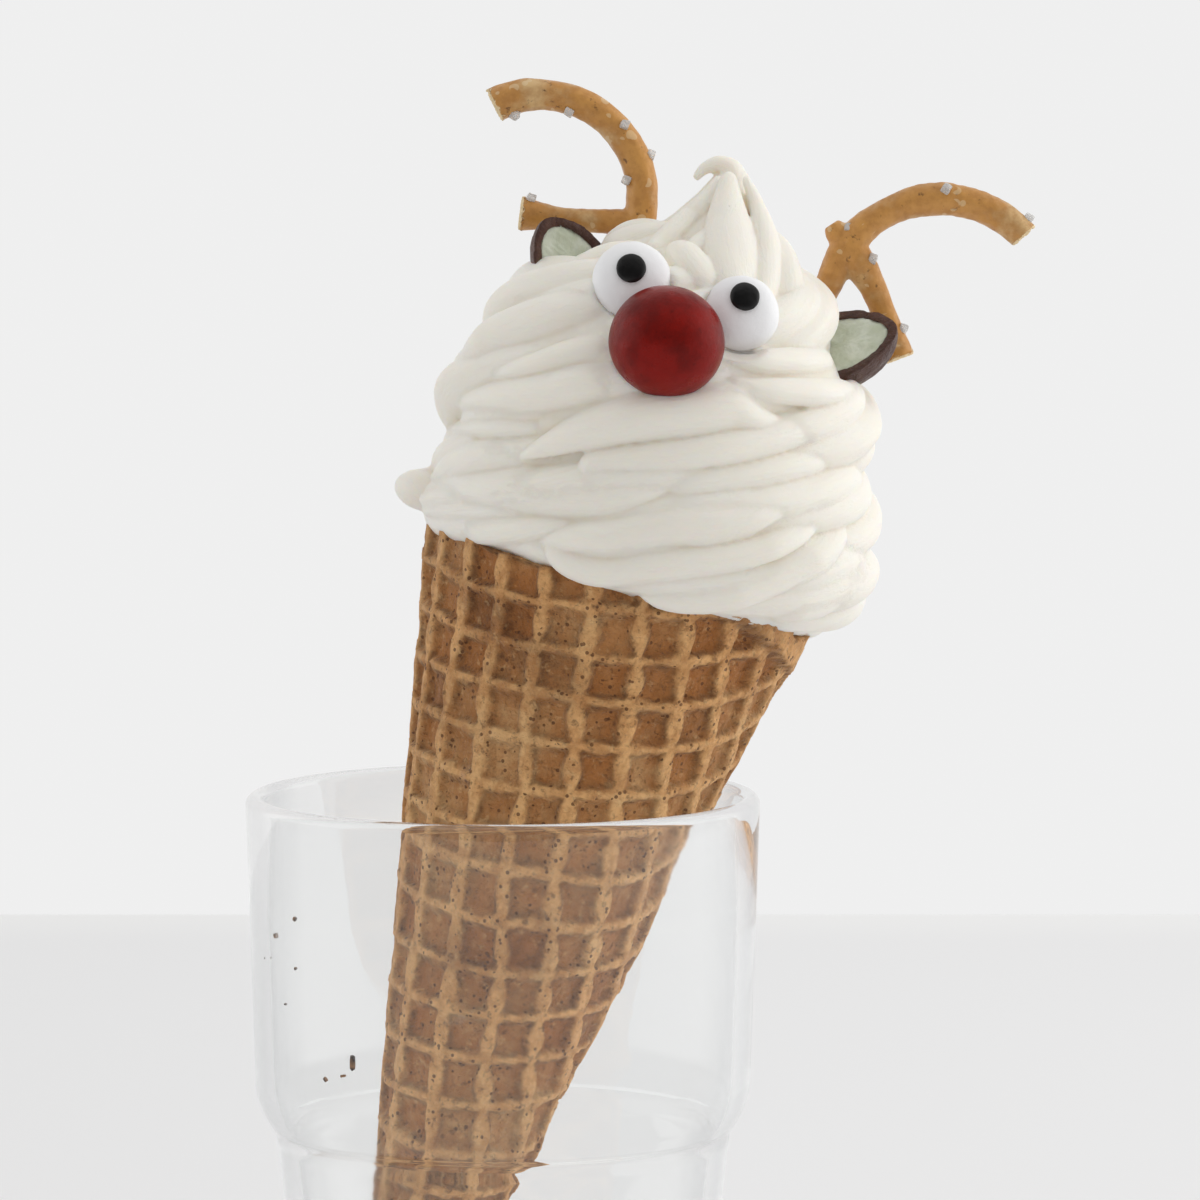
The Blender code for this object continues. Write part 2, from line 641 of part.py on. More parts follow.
TIP, MOUTH = hang_empties()
tumbler(GLASS)
waffle_cone(TIP, WAFER_BROWN)
CREAM = soft_serve(MOUTH, CREAM_WHITE)
ROOM = face(MOUTH, CANDY_RED, CANDY_WHITE, CANDY_BLACK)
ROOM += antlers(MOUTH, PRETZEL_BROWN)
ROOM += ears(MOUTH, CHOCOLATE, MINT)
ROOM.append(cone_wall("cut", TIP, LAP + 0.35, 0.3, top=CONE_LENGTH + 0.35))
for CUTTER in ROOM:
    combine(CREAM, [CUTTER], "DIFFERENCE")
keep_largest(CREAM)
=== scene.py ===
"""The looks of a reindeer soft serve cone standing in a glass tumbler."""
import math

import bmesh
import bpy
import numpy as np
from mathutils import Matrix, Vector
from mathutils.kdtree import KDTree


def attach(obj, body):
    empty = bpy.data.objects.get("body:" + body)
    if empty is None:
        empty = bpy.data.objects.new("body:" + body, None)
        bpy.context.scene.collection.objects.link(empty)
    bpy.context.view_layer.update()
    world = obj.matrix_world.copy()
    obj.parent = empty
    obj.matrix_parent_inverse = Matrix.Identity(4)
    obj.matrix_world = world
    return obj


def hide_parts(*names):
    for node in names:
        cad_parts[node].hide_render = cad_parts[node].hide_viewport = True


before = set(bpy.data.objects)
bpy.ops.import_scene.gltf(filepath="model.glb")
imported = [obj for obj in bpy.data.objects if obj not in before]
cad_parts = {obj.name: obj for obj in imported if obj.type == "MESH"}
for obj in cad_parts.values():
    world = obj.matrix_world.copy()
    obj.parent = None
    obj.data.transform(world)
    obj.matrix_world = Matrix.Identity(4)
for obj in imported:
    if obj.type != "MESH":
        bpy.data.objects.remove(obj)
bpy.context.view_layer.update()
MM = 0.001
scene = bpy.context.scene


# Camera
# The photo looks slightly down on the cone from a little over a metre away, through a long
# lens. The glass's rim is an ellipse whose height gives the camera's height, 254 mm.
CAMERA_PLACE = Vector((16, -1030, 254)) * MM
CAMERA_DIP = math.radians(5.33)
LENS_PIXELS = 6300
PHOTO_PIXELS = 1200
SENSOR_WIDTH = 36

camera = bpy.data.objects.new("camera", bpy.data.cameras.new("camera"))
scene.collection.objects.link(camera)
camera.data.sensor_width = SENSOR_WIDTH
camera.data.lens = SENSOR_WIDTH * LENS_PIXELS / PHOTO_PIXELS
camera.data.clip_end = 20
camera.location = CAMERA_PLACE
camera.rotation_euler = (math.pi / 2 - CAMERA_DIP, 0, 0)
scene.camera = camera


# Table, backdrop and lights
# A white table that ends behind the glass, and a bright white room: a large window behind the
# right shoulder, a smaller one at the left, and less light from where the camera stands.
TABLE_END = 0.735
TABLE_SOFT = 0.06
TABLE_REACH = 3.0
TABLE_COLOUR = (0.83, 0.83, 0.838)
TABLE_EDGE = (0.87, 0.87, 0.87)
TABLE_ROUGHNESS = 0.5
WALL_WHITE = (0.865, 0.865, 0.865)
ROOM_WHITE = (1.0, 0.997, 0.99)
# The room as light: its level, and how much brighter it is toward the back and above
ROOM_LEVEL, ROOM_BACK, ROOM_UP = 0.76, 0.15, 0.05
# In reflections the front is dim between two directions, and windows shine at both sides
FRONT_FROM, FRONT_TO, FRONT_LEVEL = -0.85, -0.25, 0.05
SIDE_FROM, SIDE_TO, SIDE_SHINE = 0.66, 0.92, 0.8
# Through bent glass the room is grey, except straight behind
BENT_FROM, BENT_TO, BENT_GREY = 0.55, 0.985, 0.30

scene.view_settings.view_transform = "Standard"


class Wiring:
    """A node tree being put together: short ways to add nodes and to join them."""

    def __init__(self, tree):
        self.nodes, self.links = tree.nodes, tree.links

    def feed(self, socket, value):
        """A link where value is a socket, else a plain value."""
        if isinstance(value, bpy.types.NodeSocket):
            self.links.new(value, socket)
        elif isinstance(value, tuple) and len(value) == 3 and socket.type == "RGBA":
            socket.default_value = (*value, 1)
        else:
            socket.default_value = value

    def add(self, kind, settings=None, **inputs):
        """A node of a kind with its inputs fed; an underscore stands for a space."""
        node = self.nodes.new("ShaderNode" + kind)
        for label, value in (settings or {}).items():
            setattr(node, label, value)
        for label, value in inputs.items():
            self.feed(node.inputs[label.replace("_", " ")], value)
        return node

    def sum(self, operation, *values):
        node = self.add("Math", {"operation": operation})
        for socket, value in zip(node.inputs, values):
            self.feed(socket, value)
        return node.outputs["Value"]

    def mix(self, share, first, second):
        return self.add("Mix", {"data_type": "RGBA"}, Factor=share, A=first, B=second).outputs["Result"]

    def ramp(self, value, low, high, bottom=0.0, top=1.0, shape="SMOOTHSTEP"):
        """Goes from bottom to top while a value goes from low to high."""
        return self.add("MapRange", {"interpolation_type": shape}, Value=value, From_Min=low, From_Max=high,
                        To_Min=bottom, To_Max=top).outputs["Result"]

    def place(self):
        """The place on the object, in metres."""
        return self.add("TexCoord").outputs["Object"]


class Finish(Wiring):
    """A material being put together: its shader, and short ways to colour and roughen it."""

    def __init__(self, name, roughness):
        self.material = bpy.data.materials.new(name)
        self.material.use_nodes = True
        super().__init__(self.material.node_tree)
        self.shader = self.nodes["Principled BSDF"]
        self.set(Roughness=roughness)

    def set(self, **values):
        """Sets the shader's own sockets; an underscore stands for a space."""
        for label, value in values.items():
            self.shader.inputs[label.replace("_", " ")].default_value = value

    def attribute(self, name, output="Fac"):
        return self.add("Attribute", {"attribute_name": name}).outputs[output]

    def group(self, tree, output, **values):
        return self.add("Group", {"node_tree": tree}, **values).outputs[output]

    def patches(self, scale, low, high):
        """Cloudy patches: none where the clouds are below low, whole above high."""
        return self.group(PATCHES, "Mask", Scale=scale, Low=low, High=high)

    def blotches(self, colour, paint, scale, low, high, strength=1.0):
        """A colour with patches of another paint on it."""
        return self.mix(self.sum("MULTIPLY", self.patches(scale, low, high), strength), colour, paint)

    def bump(self, height, strength, distance, under=None):
        node = self.add("Bump", Strength=strength, Distance=distance, Height=height)
        if under is not None:
            self.feed(node.inputs["Normal"], under)
        return node.outputs["Normal"]

    def wear(self, colour=None, roughness=None, normal=None):
        """Joins the finished colour, roughness and normal to the shader."""
        for label, value in (("Base Color", colour), ("Roughness", roughness), ("Normal", normal)):
            if value is not None:
                self.feed(self.shader.inputs[label], value)
        return self.material


def bright_room():
    """A white room: one brightness where it is seen, another as light, and another in reflections."""
    world = bpy.data.worlds.new("studio")
    world.use_nodes = True
    wires = Wiring(world.node_tree)
    way = wires.add("SeparateXYZ", Vector=wires.add("TexCoord").outputs["Generated"]).outputs
    ray = wires.add("LightPath").outputs
    light = wires.sum("MULTIPLY_ADD", way["Y"], ROOM_BACK, ROOM_LEVEL)
    light = wires.sum("MULTIPLY_ADD", way["Z"], ROOM_UP, light)
    dimmed = wires.sum("MULTIPLY", wires.ramp(way["Y"], FRONT_FROM, FRONT_TO, FRONT_LEVEL), light)
    light = wires.add("Mix", Factor=ray["Is Glossy Ray"], A=light, B=dimmed).outputs["Result"]
    sides = wires.ramp(wires.sum("ABSOLUTE", way["X"]), SIDE_FROM, SIDE_TO, 0.0, SIDE_SHINE)
    light = wires.sum("MULTIPLY_ADD", sides, ray["Is Glossy Ray"], light)
    seen = wires.sum("MAXIMUM", wires.ramp(way["Y"], BENT_FROM, BENT_TO, BENT_GREY), ray["Is Camera Ray"])
    lamp = wires.add("Background", Color=ROOM_WHITE, Strength=light)
    wall = wires.nodes["Background"]
    wires.feed(wall.inputs["Color"], WALL_WHITE)
    wires.feed(wall.inputs["Strength"], seen)
    plain = wires.sum("MAXIMUM", ray["Is Camera Ray"], ray["Is Transmission Ray"])
    chosen = wires.add("MixShader", Fac=plain)
    wires.feed(chosen.inputs[1], lamp.outputs["Background"])
    wires.feed(chosen.inputs[2], wall.outputs["Background"])
    wires.feed(wires.nodes["World Output"].inputs["Surface"], chosen.outputs["Shader"])
    return world


scene.world = bright_room()


def table_finish():
    """White, and a little lighter toward the far edge, which is out of focus in the photo."""
    finish = Finish("table", TABLE_ROUGHNESS)
    depth = finish.add("SeparateXYZ", Vector=finish.place()).outputs["Y"]
    share = finish.ramp(depth, TABLE_END - TABLE_SOFT, TABLE_END)
    return finish.wear(finish.mix(share, TABLE_COLOUR, TABLE_EDGE))


def rectangle(name, corners, finish):
    mesh = bpy.data.meshes.new(name)
    mesh.from_pydata(corners, [], [tuple(range(len(corners)))])
    mesh.materials.append(finish)
    made = bpy.data.objects.new(name, mesh)
    scene.collection.objects.link(made)
    return made


table = rectangle("table", [(-TABLE_REACH, -TABLE_REACH, 0), (TABLE_REACH, -TABLE_REACH, 0),
                            (TABLE_REACH, TABLE_END, 0), (-TABLE_REACH, TABLE_END, 0)], table_finish())

# Each window's place, width, height, power and colour; both are turned to the face
WINDOWS = {
    "window": ((1.35, 0.20, 0.75), 1.3, 1.5, 10.0, (1.0, 0.995, 0.985)),
    "left window": ((-1.35, -0.40, 0.45), 1.0, 1.4, 0.6, (0.97, 0.985, 1.0)),
}
FACE = Vector((0.02, 0.0, 0.19))

for name, (place, width, height, power, colour) in WINDOWS.items():
    lamp = bpy.data.lights.new(name, "AREA")
    lamp.shape = "RECTANGLE"
    lamp.size, lamp.size_y = width, height
    lamp.energy = power
    lamp.color = colour
    window = bpy.data.objects.new(name, lamp)
    scene.collection.objects.link(window)
    window.location = place
    window.rotation_euler = (FACE - Vector(place)).to_track_quat("-Z", "Y").to_euler()
    window.visible_camera = False
    window.visible_glossy = False
    window.visible_transmission = False


# Tumbler
# A plain stackable drinking glass of clear toughened soda glass, pressed in a mould: a wide top
# with a fire-polished lip, a shoulder for stacking, a narrower foot and a thick floor.
GLASS_HEIGHT = 126.0
GLASS_RIM_RADIUS = 42.4
GLASS_WALL = 3.1
GLASS_FLOOR = 9.0
SHOULDER_TOP, SHOULDER_FOOT = 78.0, 70.4
SHOULDER_RADIUS = 40.9
SHOULDER_STEP, SHOULDER_DRAFT = 2.7, 0.3
GLASS_IOR, GLASS_SHINE = 1.5, 0.3
GLASS_TINT = (0.99, 0.995, 0.993)
# The grey painted as shade where the glass is seen edge-on
GLASS_EDGE_SHADE = (0.50, 0.52, 0.54)
# How slanting the wall is seen where the edge's painted grey shade begins, and how strongly the smears change
# it
EDGE_SHADE_FROM, EDGE_SHADE_STRENGTH, EDGE_SHADE_LESS = 0.48, 2.2, -0.25
SMEAR_SCALE = (60, 60, 16)
SMEAR_FROM, SMEAR_TO, SMEAR_DULL = 0.52, 0.8, 0.12
MOST_BOUNCES = 3.5
GLASS_SIDES = 224


def mesh_piece(name, points, faces, finish):
    """A smooth mesh object from points in millimetres in the row frame."""
    mesh = bpy.data.meshes.new(name)
    flat = np.asarray(points, dtype=np.float64) * MM
    mesh.from_pydata(flat.tolist(), [], faces)
    mesh.polygons.foreach_set("use_smooth", [True] * len(mesh.polygons))
    mesh.materials.append(finish)
    made = bpy.data.objects.new(name, mesh)
    scene.collection.objects.link(made)
    return made


def ring_faces(rows, around, start=0):
    """Quads between rings of points, each ring closed on itself."""
    faces = []
    for row in range(rows - 1):
        low, high = start + row * around, start + (row + 1) * around
        for column in range(around):
            beside = (column + 1) % around
            faces.append((low + column, low + beside, high + beside, high + column))
    return faces


def lathe(profile, around):
    """Points and faces turned about Z from (radius, height) pairs whose ends are on the axis."""
    angles = np.arange(around) * 2 * math.pi / around
    circle = np.stack([np.cos(angles), np.sin(angles)], axis=1)
    points = [np.array([[0, 0, profile[0][1]]])]
    for radius, height in profile[1:-1]:
        points.append(np.column_stack([circle * radius, np.full(around, height)]))
    points.append(np.array([[0, 0, profile[-1][1]]]))
    points = np.concatenate(points)
    rows = len(profile) - 2
    faces = ring_faces(rows, around, 1)
    last = 1 + (rows - 1) * around
    for column in range(around):
        beside = (column + 1) % around
        faces.append((0, 1 + beside, 1 + column))
        faces.append((len(points) - 1, last + column, last + beside))
    return points, faces


def along(knots, place):
    """A smooth value between (place, value) knots."""
    places = [knot[0] for knot in knots]
    values = [knot[1] for knot in knots]
    if place <= places[0]:
        return values[0]
    if place >= places[-1]:
        return values[-1]
    index = max(i for i in range(len(knots) - 1) if places[i] <= place)
    span = places[index + 1] - places[index]
    share = (place - places[index]) / span

    def slope(at):
        low, high = max(at - 1, 0), min(at + 1, len(knots) - 1)
        return (values[high] - values[low]) / (places[high] - places[low]) * span

    square, cube = share ** 2, share ** 3
    return ((2 * cube - 3 * square + 1) * values[index] + (cube - 2 * square + share) * slope(index)
            + (3 * square - 2 * cube) * values[index + 1] + (cube - square) * slope(index + 1))


def glass_outside(height):
    """The tumbler's outer radius at a height."""
    if height >= SHOULDER_TOP:
        return along([(SHOULDER_TOP, SHOULDER_RADIUS), (GLASS_HEIGHT, GLASS_RIM_RADIUS)], height)
    if height > SHOULDER_FOOT:
        share = (SHOULDER_TOP - height) / (SHOULDER_TOP - SHOULDER_FOOT)
        drop = SHOULDER_STEP * (1 - math.cos(share * math.pi / 2)) + SHOULDER_DRAFT * share
        return SHOULDER_RADIUS - drop
    return along([(4.0, 30.4), (10.0, 31.3), (40.0, 34.2), (58.0, 36.1), (SHOULDER_FOOT, 37.6)], height)


def glass_profile():
    lip = GLASS_WALL / 2
    foot = [(0, 0.9), (22.0, 0.5), (25.5, 0.0), (27.2, 0.0), (28.8, 0.5), (29.9, 1.7), (30.3, 3.2)]
    heights = [4, 7, 10, 16, 25, 40, 55, 64, 68, 69.4, SHOULDER_FOOT]
    heights += [70.9, 71.6, 72.5, 73.6, 74.9, 76.4, SHOULDER_TOP, 80, 90, 108, GLASS_HEIGHT - lip]
    profile = foot + [(glass_outside(height), height) for height in heights]
    top = GLASS_HEIGHT - lip
    for step in range(1, 12):
        angle = math.pi * step / 12
        profile.append((glass_outside(top) - lip + lip * math.cos(angle), top + lip * math.sin(angle)))
    inside = [top, 108, 90, 80, 78, 76.4, 74.8, 73.2, 71.8, 70.6, 69.4, 67.5, 65, 60, 40, 25, 17, 14]
    profile += [(glass_outside(height) - GLASS_WALL, height) for height in inside]
    profile += [(27.9, 12.2), (26.8, 10.4), (24.8, 9.3), (22.0, GLASS_FLOOR), (0, GLASS_FLOOR)]
    return profile


def clear_glass():
    """Clear glass with faint smears that dull it here and there, and a painted grey shade where it is seen
    edge-on, stronger where it is smeared. It lets the room's light through to what stands in it, and a ray
    that keeps going round inside it comes out."""
    finish = Finish("clear glass", 0.5)
    finish.set(Base_Color=(*GLASS_TINT, 1), Transmission_Weight=1.0, IOR=GLASS_IOR,
               Specular_IOR_Level=GLASS_SHINE)
    place = finish.add("Mapping", Vector=finish.place(), Scale=SMEAR_SCALE).outputs["Vector"]
    smears = finish.add("TexNoise", Vector=place, Scale=1.0, Detail=4.0).outputs["Fac"]
    rough = finish.ramp(smears, SMEAR_FROM, SMEAR_TO, 0.0, SMEAR_DULL, "LINEAR")
    # Painted grey shade where the wall is seen edge-on, stronger where it is smeared
    slant = finish.add("LayerWeight", Blend=0.5).outputs["Facing"]
    edge = finish.ramp(slant, EDGE_SHADE_FROM, 1.0, shape="LINEAR")
    edge = finish.sum("MULTIPLY", edge, finish.sum("MULTIPLY_ADD", smears, EDGE_SHADE_STRENGTH, EDGE_SHADE_LESS))
    ray = finish.add("LightPath").outputs
    trapped = finish.sum("GREATER_THAN", ray["Glossy Depth"], MOST_BOUNCES)
    soft = finish.sum("MAXIMUM", ray["Is Shadow Ray"], ray["Is Diffuse Ray"])
    through = finish.sum("MAXIMUM", trapped, soft)
    finish.feed(finish.shader.inputs["Alpha"], finish.sum("SUBTRACT", 1.0, through))
    return finish.wear(finish.mix(edge, GLASS_TINT, GLASS_EDGE_SHADE), rough)


tumbler = mesh_piece("tumbler_glass", *lathe(glass_profile(), GLASS_SIDES), clear_glass())
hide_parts("tumbler")
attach(tumbler, "root")


# Waffle cone
# A thin wafer pressed in a waffle iron and rolled hot, with its outer edge lapped over: square
# pockets between flat cross ribs and lens-shaped upright ribs, toasted, porous and floury.
CONE_POINT = Vector((-25.9, -1.2, 4.65))
CONE_LEAN_RIGHT = 15.94
CONE_LEAN_BACK = 3.5
HALF_ANGLE = math.radians(11.34)
CONE_LENGTH = 163.0
WAFER = 2.5
POCKET_DEPTH = 1.45
COLUMN_STEP, ROW_STEP = 8.27, 7.74
COLUMN_START, ROW_START = 22.4, 159.35
GRID_TURN = math.radians(9.21)
LAP = 1.05
CONE_COLUMNS, CONE_ROWS = 430, 205
LOWEST_ROW = 6.2


def cone_matrix():
    """From the cone's own frame, right, back and up its axis, to the row frame."""
    up = Vector((math.tan(math.radians(CONE_LEAN_RIGHT)), math.tan(math.radians(CONE_LEAN_BACK)), 1))
    up.normalize()
    back = (Vector((0, 1, 0)) - up * up.y).normalized()
    right = back.cross(up)
    matrix = Matrix((right, back, up)).transposed().to_4x4()
    matrix.translation = CONE_POINT
    return matrix


CONE = np.array(cone_matrix())
MOUTH = np.array(cone_matrix() @ Matrix.Translation((0, 0, CONE_LENGTH)))


def placed(points, matrix):
    """Points in millimetres moved from a piece's own frame to the row frame."""
    return np.asarray(points) @ matrix[:3, :3].T + matrix[:3, 3]


def soft_step(low, high, value):
    share = np.clip((value - low) / (high - low), 0, 1)
    return share * share * (3 - 2 * share)


def hills(points, size, seed, octaves=3):
    """Smooth unevenness between about -1 and 1, as a sum of slanting waves."""
    random = np.random.default_rng(seed)
    total = np.zeros(len(points))
    strength, reach = 0.0, 1.0
    for octave in range(octaves):
        for wave in range(6):
            way = random.normal(size=3)
            way /= np.linalg.norm(way)
            phase = random.uniform(0, 2 * math.pi)
            total += reach * np.sin(points @ way * 2 * math.pi / size + phase)
        strength += reach * 2.4
        reach *= 0.5
        size *= 0.52
    return total / strength


def lap_edge(height):
    """The angle from the front, in degrees, of the outer layer's edge."""
    near_rim = np.clip((CONE_LENGTH - height) / 8.2, 0, 1)
    return 26 + 64 * near_rim + 140 * np.clip((154.8 - height) / 150, 0, 1) ** 0.8


def waffle_grid(angle, height):
    """How deep the wafer is pressed, from 0 on the ribs to 1 in the pockets, and the cell's numbers."""
    slant = height / math.cos(HALF_ANGLE)
    turn = np.radians(angle) * math.sin(HALF_ANGLE)
    flat_x, flat_y = slant * np.sin(turn), slant * np.cos(turn)
    across = math.cos(GRID_TURN) * flat_x + math.sin(GRID_TURN) * flat_y
    down = math.cos(GRID_TURN) * flat_y - math.sin(GRID_TURN) * flat_x
    wander = hills(np.column_stack([across, down, across * 0]), 26, 5, 2) * 0.55
    column = (across - COLUMN_START + wander) / COLUMN_STEP
    row = (ROW_START - down + wander * 0.8) / ROW_STEP
    from_upright = np.abs(column - np.round(column)) * COLUMN_STEP
    from_cross = np.abs(row - np.round(row)) * ROW_STEP
    spot = np.column_stack([across, down, across * 0])
    ragged = 0.30 * hills(spot, 6, 6, 3)
    bulge = 0.7 + 0.6 * cell_chance(np.round(column), np.floor(row), 4)
    lens = 0.5 + 0.55 * soft_step(0.4, 3.0, from_cross) * bulge
    upright = 1 - soft_step(lens + ragged, lens + ragged + 1.1, from_upright)
    cross = 1 - soft_step(0.55 + ragged, 1.6 + ragged, from_cross)
    pressed = 1 - np.maximum(upright, cross)
    return pressed, np.floor(column), np.floor(row)


def cell_chance(column, row, seed):
    """A number from 0 to 1 for each pocket, the same each time."""
    mixed = np.sin(column * 12.9898 + row * 78.233 + seed * 37.719) * 43758.5453
    return mixed - np.floor(mixed)


def wafer_surface():
    """The outside of the wafer: points in the cone's frame, how deep each is pressed, its toasting, and where
    a shadow is painted beside the lapped edge.
    """
    heights = np.linspace(CONE_LENGTH, LOWEST_ROW, CONE_ROWS)
    angles = np.arange(CONE_COLUMNS) * 360.0 / CONE_COLUMNS
    height, angle = [grid.ravel() for grid in np.meshgrid(heights, angles, indexing="ij")]
    slope = math.tan(HALF_ANGLE)
    edge = lap_edge(height)
    edge_slope = (lap_edge(height + 0.5) - lap_edge(height - 0.5)) * math.pi / 180
    past = angle - edge
    radius = height * slope
    clear = radius * np.radians(past) / np.sqrt(1 + (radius * edge_slope) ** 2)
    outer = soft_step(-0.3, 0.3, clear)
    pressed_outer, column_outer, row_outer = waffle_grid(angle - 360, height)
    pressed_under, column_under, row_under = waffle_grid(angle, height)
    band = 3.0 + 2.4 * soft_step(CONE_LENGTH - 40, CONE_LENGTH - 10, height)
    pressed_outer *= soft_step(band, band + 1.2, clear)
    pressed_under *= soft_step(0.4, 1.4, -clear)
    pressed = outer * pressed_outer + (1 - outer) * pressed_under
    column = np.where(outer > 0.5, column_outer, column_under)
    row = np.where(outer > 0.5, row_outer, row_under)
    pressed *= soft_step(9, 26, height) * (0.8 + 0.35 * cell_chance(column, row, 1))
    lift = LAP * outer * np.clip(1 - past / (360 - edge), 0, 1)
    turn = np.radians(angle)
    spot = np.column_stack([radius * np.sin(turn), -radius * np.cos(turn), height])
    uneven = hills(spot, 30, 11, 3) * 0.28 + hills(spot, 4.2, 12, 3) * 0.16
    reach = radius - 0.15 + lift - POCKET_DEPTH * pressed + uneven * soft_step(4, 20, height)
    points = np.column_stack([reach * np.sin(turn), -reach * np.cos(turn), height])
    toasted = 0.5 + 0.5 * hills(spot, 46, 21, 2) + 0.35 * (cell_chance(column, row, 2) - 0.5)
    # Where a shadow is painted just beside the lapped edge, on the layer beneath
    lap_shade = np.exp(-((clear + 0.2) / 0.45) ** 2)
    return points, pressed, np.clip(toasted, 0, 1), lap_shade


def rim_waver(angle):
    """The rim's ups and downs where the wafer's edge was trimmed."""
    turn = np.radians(angle)
    return 0.7 * np.sin(3 * turn + 0.4) + 0.45 * np.sin(7 * turn + 2.0) + 0.2 * np.sin(19 * turn)


def mark_points(mesh, name, values):
    """A number at each point, which the material reads."""
    mesh.attributes.new(name, "FLOAT", "POINT").data.foreach_set("value", values.astype(np.float32))


def waffle_cone(finish):
    """The wafer's outside, its thick rim and its smooth inside, as one skin."""
    points, pressed, toasted, lap_shade = wafer_surface()
    slope = math.tan(HALF_ANGLE)
    angles = np.arange(CONE_COLUMNS) * 360.0 / CONE_COLUMNS
    waver = rim_waver(angles)
    near_rim = np.repeat(np.linspace(CONE_LENGTH, LOWEST_ROW, CONE_ROWS), CONE_COLUMNS)
    points[:, 2] += np.tile(waver, CONE_ROWS) * soft_step(CONE_LENGTH - 10, CONE_LENGTH, near_rim)
    rings = []
    turn = np.radians(angles)
    rim = points[:CONE_COLUMNS]
    rim_radius = np.hypot(rim[:, 0], rim[:, 1])
    for share, rise in ((0.82, 0.0), (0.5, 0.35), (0.18, 0.3), (0.0, 0.0)):
        radius = (CONE_LENGTH * slope - WAFER) * (1 - share) + rim_radius * share
        rings.append(np.column_stack([radius * np.sin(turn), -radius * np.cos(turn), rim[:, 2] + rise]))
    for height in (CONE_LENGTH - 3, 140, 100, 60, 25):
        radius = np.full(CONE_COLUMNS, height * slope - WAFER)
        rings.append(np.column_stack([radius * np.sin(turn), -radius * np.cos(turn),
                                      np.full(CONE_COLUMNS, float(height))]))
    inner = np.concatenate(rings)
    outside = len(points)
    rows = len(rings)
    everything = np.concatenate([points, inner, [[0, 0, 5.2]], [[0, 0, 14.5]]])
    faces = [tuple(reversed(face)) for face in ring_faces(CONE_ROWS, CONE_COLUMNS)]
    faces += ring_faces(rows, CONE_COLUMNS, outside)
    tip, floor = len(everything) - 2, len(everything) - 1
    last_outer = (CONE_ROWS - 1) * CONE_COLUMNS
    last_inner = outside + (rows - 1) * CONE_COLUMNS
    for column in range(CONE_COLUMNS):
        beside = (column + 1) % CONE_COLUMNS
        faces.append((column, beside, outside + beside, outside + column))
        faces.append((last_outer + beside, last_outer + column, tip))
        faces.append((last_inner + column, last_inner + beside, floor))
    made = mesh_piece("waffle_cone_wafer", placed(everything, CONE), faces, finish)
    # The last mark says where the material paints a shadow beside the lapped edge
    for name, values, inside in (("pressed", pressed, 0.2), ("toasted", toasted, 0.5), ("lap_shade", lap_shade, 0.0)):
        mark_points(made.data, name, np.append(values, np.full(len(everything) - outside, inside)))
    return made


def node_group(name, inputs, outputs):
    """A shader group with named numbers as its inputs and outputs, and what is needed to fill it."""
    tree = bpy.data.node_groups.new(name, "ShaderNodeTree")
    for label, value in inputs.items():
        socket = tree.interface.new_socket(label, in_out="INPUT", socket_type="NodeSocketFloat")
        socket.default_value = value
    for label in outputs:
        tree.interface.new_socket(label, in_out="OUTPUT", socket_type="NodeSocketFloat")
    given, out = tree.nodes.new("NodeGroupInput"), tree.nodes.new("NodeGroupOutput")
    return tree, Wiring(tree), given.outputs, out.inputs


def crumb_group():
    """Baked crumb: fine grain and scattered pores, as a height and a mask of the pores."""
    tree, wires, given, out = node_group(
        "baked crumb", {"Grain Scale": 900.0, "Pore Scale": 420.0, "Pore Size": 0.16}, ("Height", "Pores"))
    place = wires.place()
    grain = wires.add("TexNoise", Vector=place, Scale=given["Grain Scale"], Detail=5.0, Roughness=0.62)
    pores = wires.add("TexVoronoi", Vector=place, Scale=given["Pore Scale"]).outputs["Distance"]
    chance = wires.add("TexNoise", Vector=place, Scale=190.0).outputs["Fac"]
    pores = wires.sum("LESS_THAN", pores, given["Pore Size"])
    pores = wires.sum("MULTIPLY", pores, wires.sum("GREATER_THAN", chance, 0.52))
    wires.feed(out["Height"], wires.sum("MULTIPLY_ADD", pores, -1.4, grain.outputs["Fac"]))
    wires.feed(out["Pores"], pores)
    return tree


def mottle_group():
    """Cloudy variation between 0 and 1, for browning, bloom and dust."""
    tree, wires, given, out = node_group(
        "cloudy patches", {"Scale": 60.0, "Low": 0.4, "High": 0.6}, ("Mask",))
    clouds = wires.add("TexNoise", Vector=wires.place(), Scale=given["Scale"], Detail=6.0, Roughness=0.6)
    wires.feed(out["Mask"], wires.ramp(clouds.outputs["Fac"], given["Low"], given["High"]))
    return tree


CRUMB = crumb_group()
PATCHES = mottle_group()

WAFER_TAN = (0.88, 0.49, 0.20)
WAFER_BROWN = (0.50, 0.20, 0.058)
WAFER_TOASTED = (0.150, 0.060, 0.022)
WAFER_PALE = (0.86, 0.56, 0.27)
FLOUR = (0.78, 0.72, 0.64)
WAFER_CRUMB = {"Grain_Scale": 1300.0, "Pore_Scale": 760.0, "Pore_Size": 0.24}
# Marks all over the wafer: the paint, the patches' scale, where they begin and are whole, their strength
WAFER_MARKS = [(WAFER_PALE, 75.0, 0.50, 0.75, 0.55), (WAFER_BROWN, 420.0, 0.36, 0.66, 0.55),
               (WAFER_TOASTED, 800.0, 0.54, 0.70, 0.6), (WAFER_PALE, 650.0, 0.55, 0.75, 0.5)]


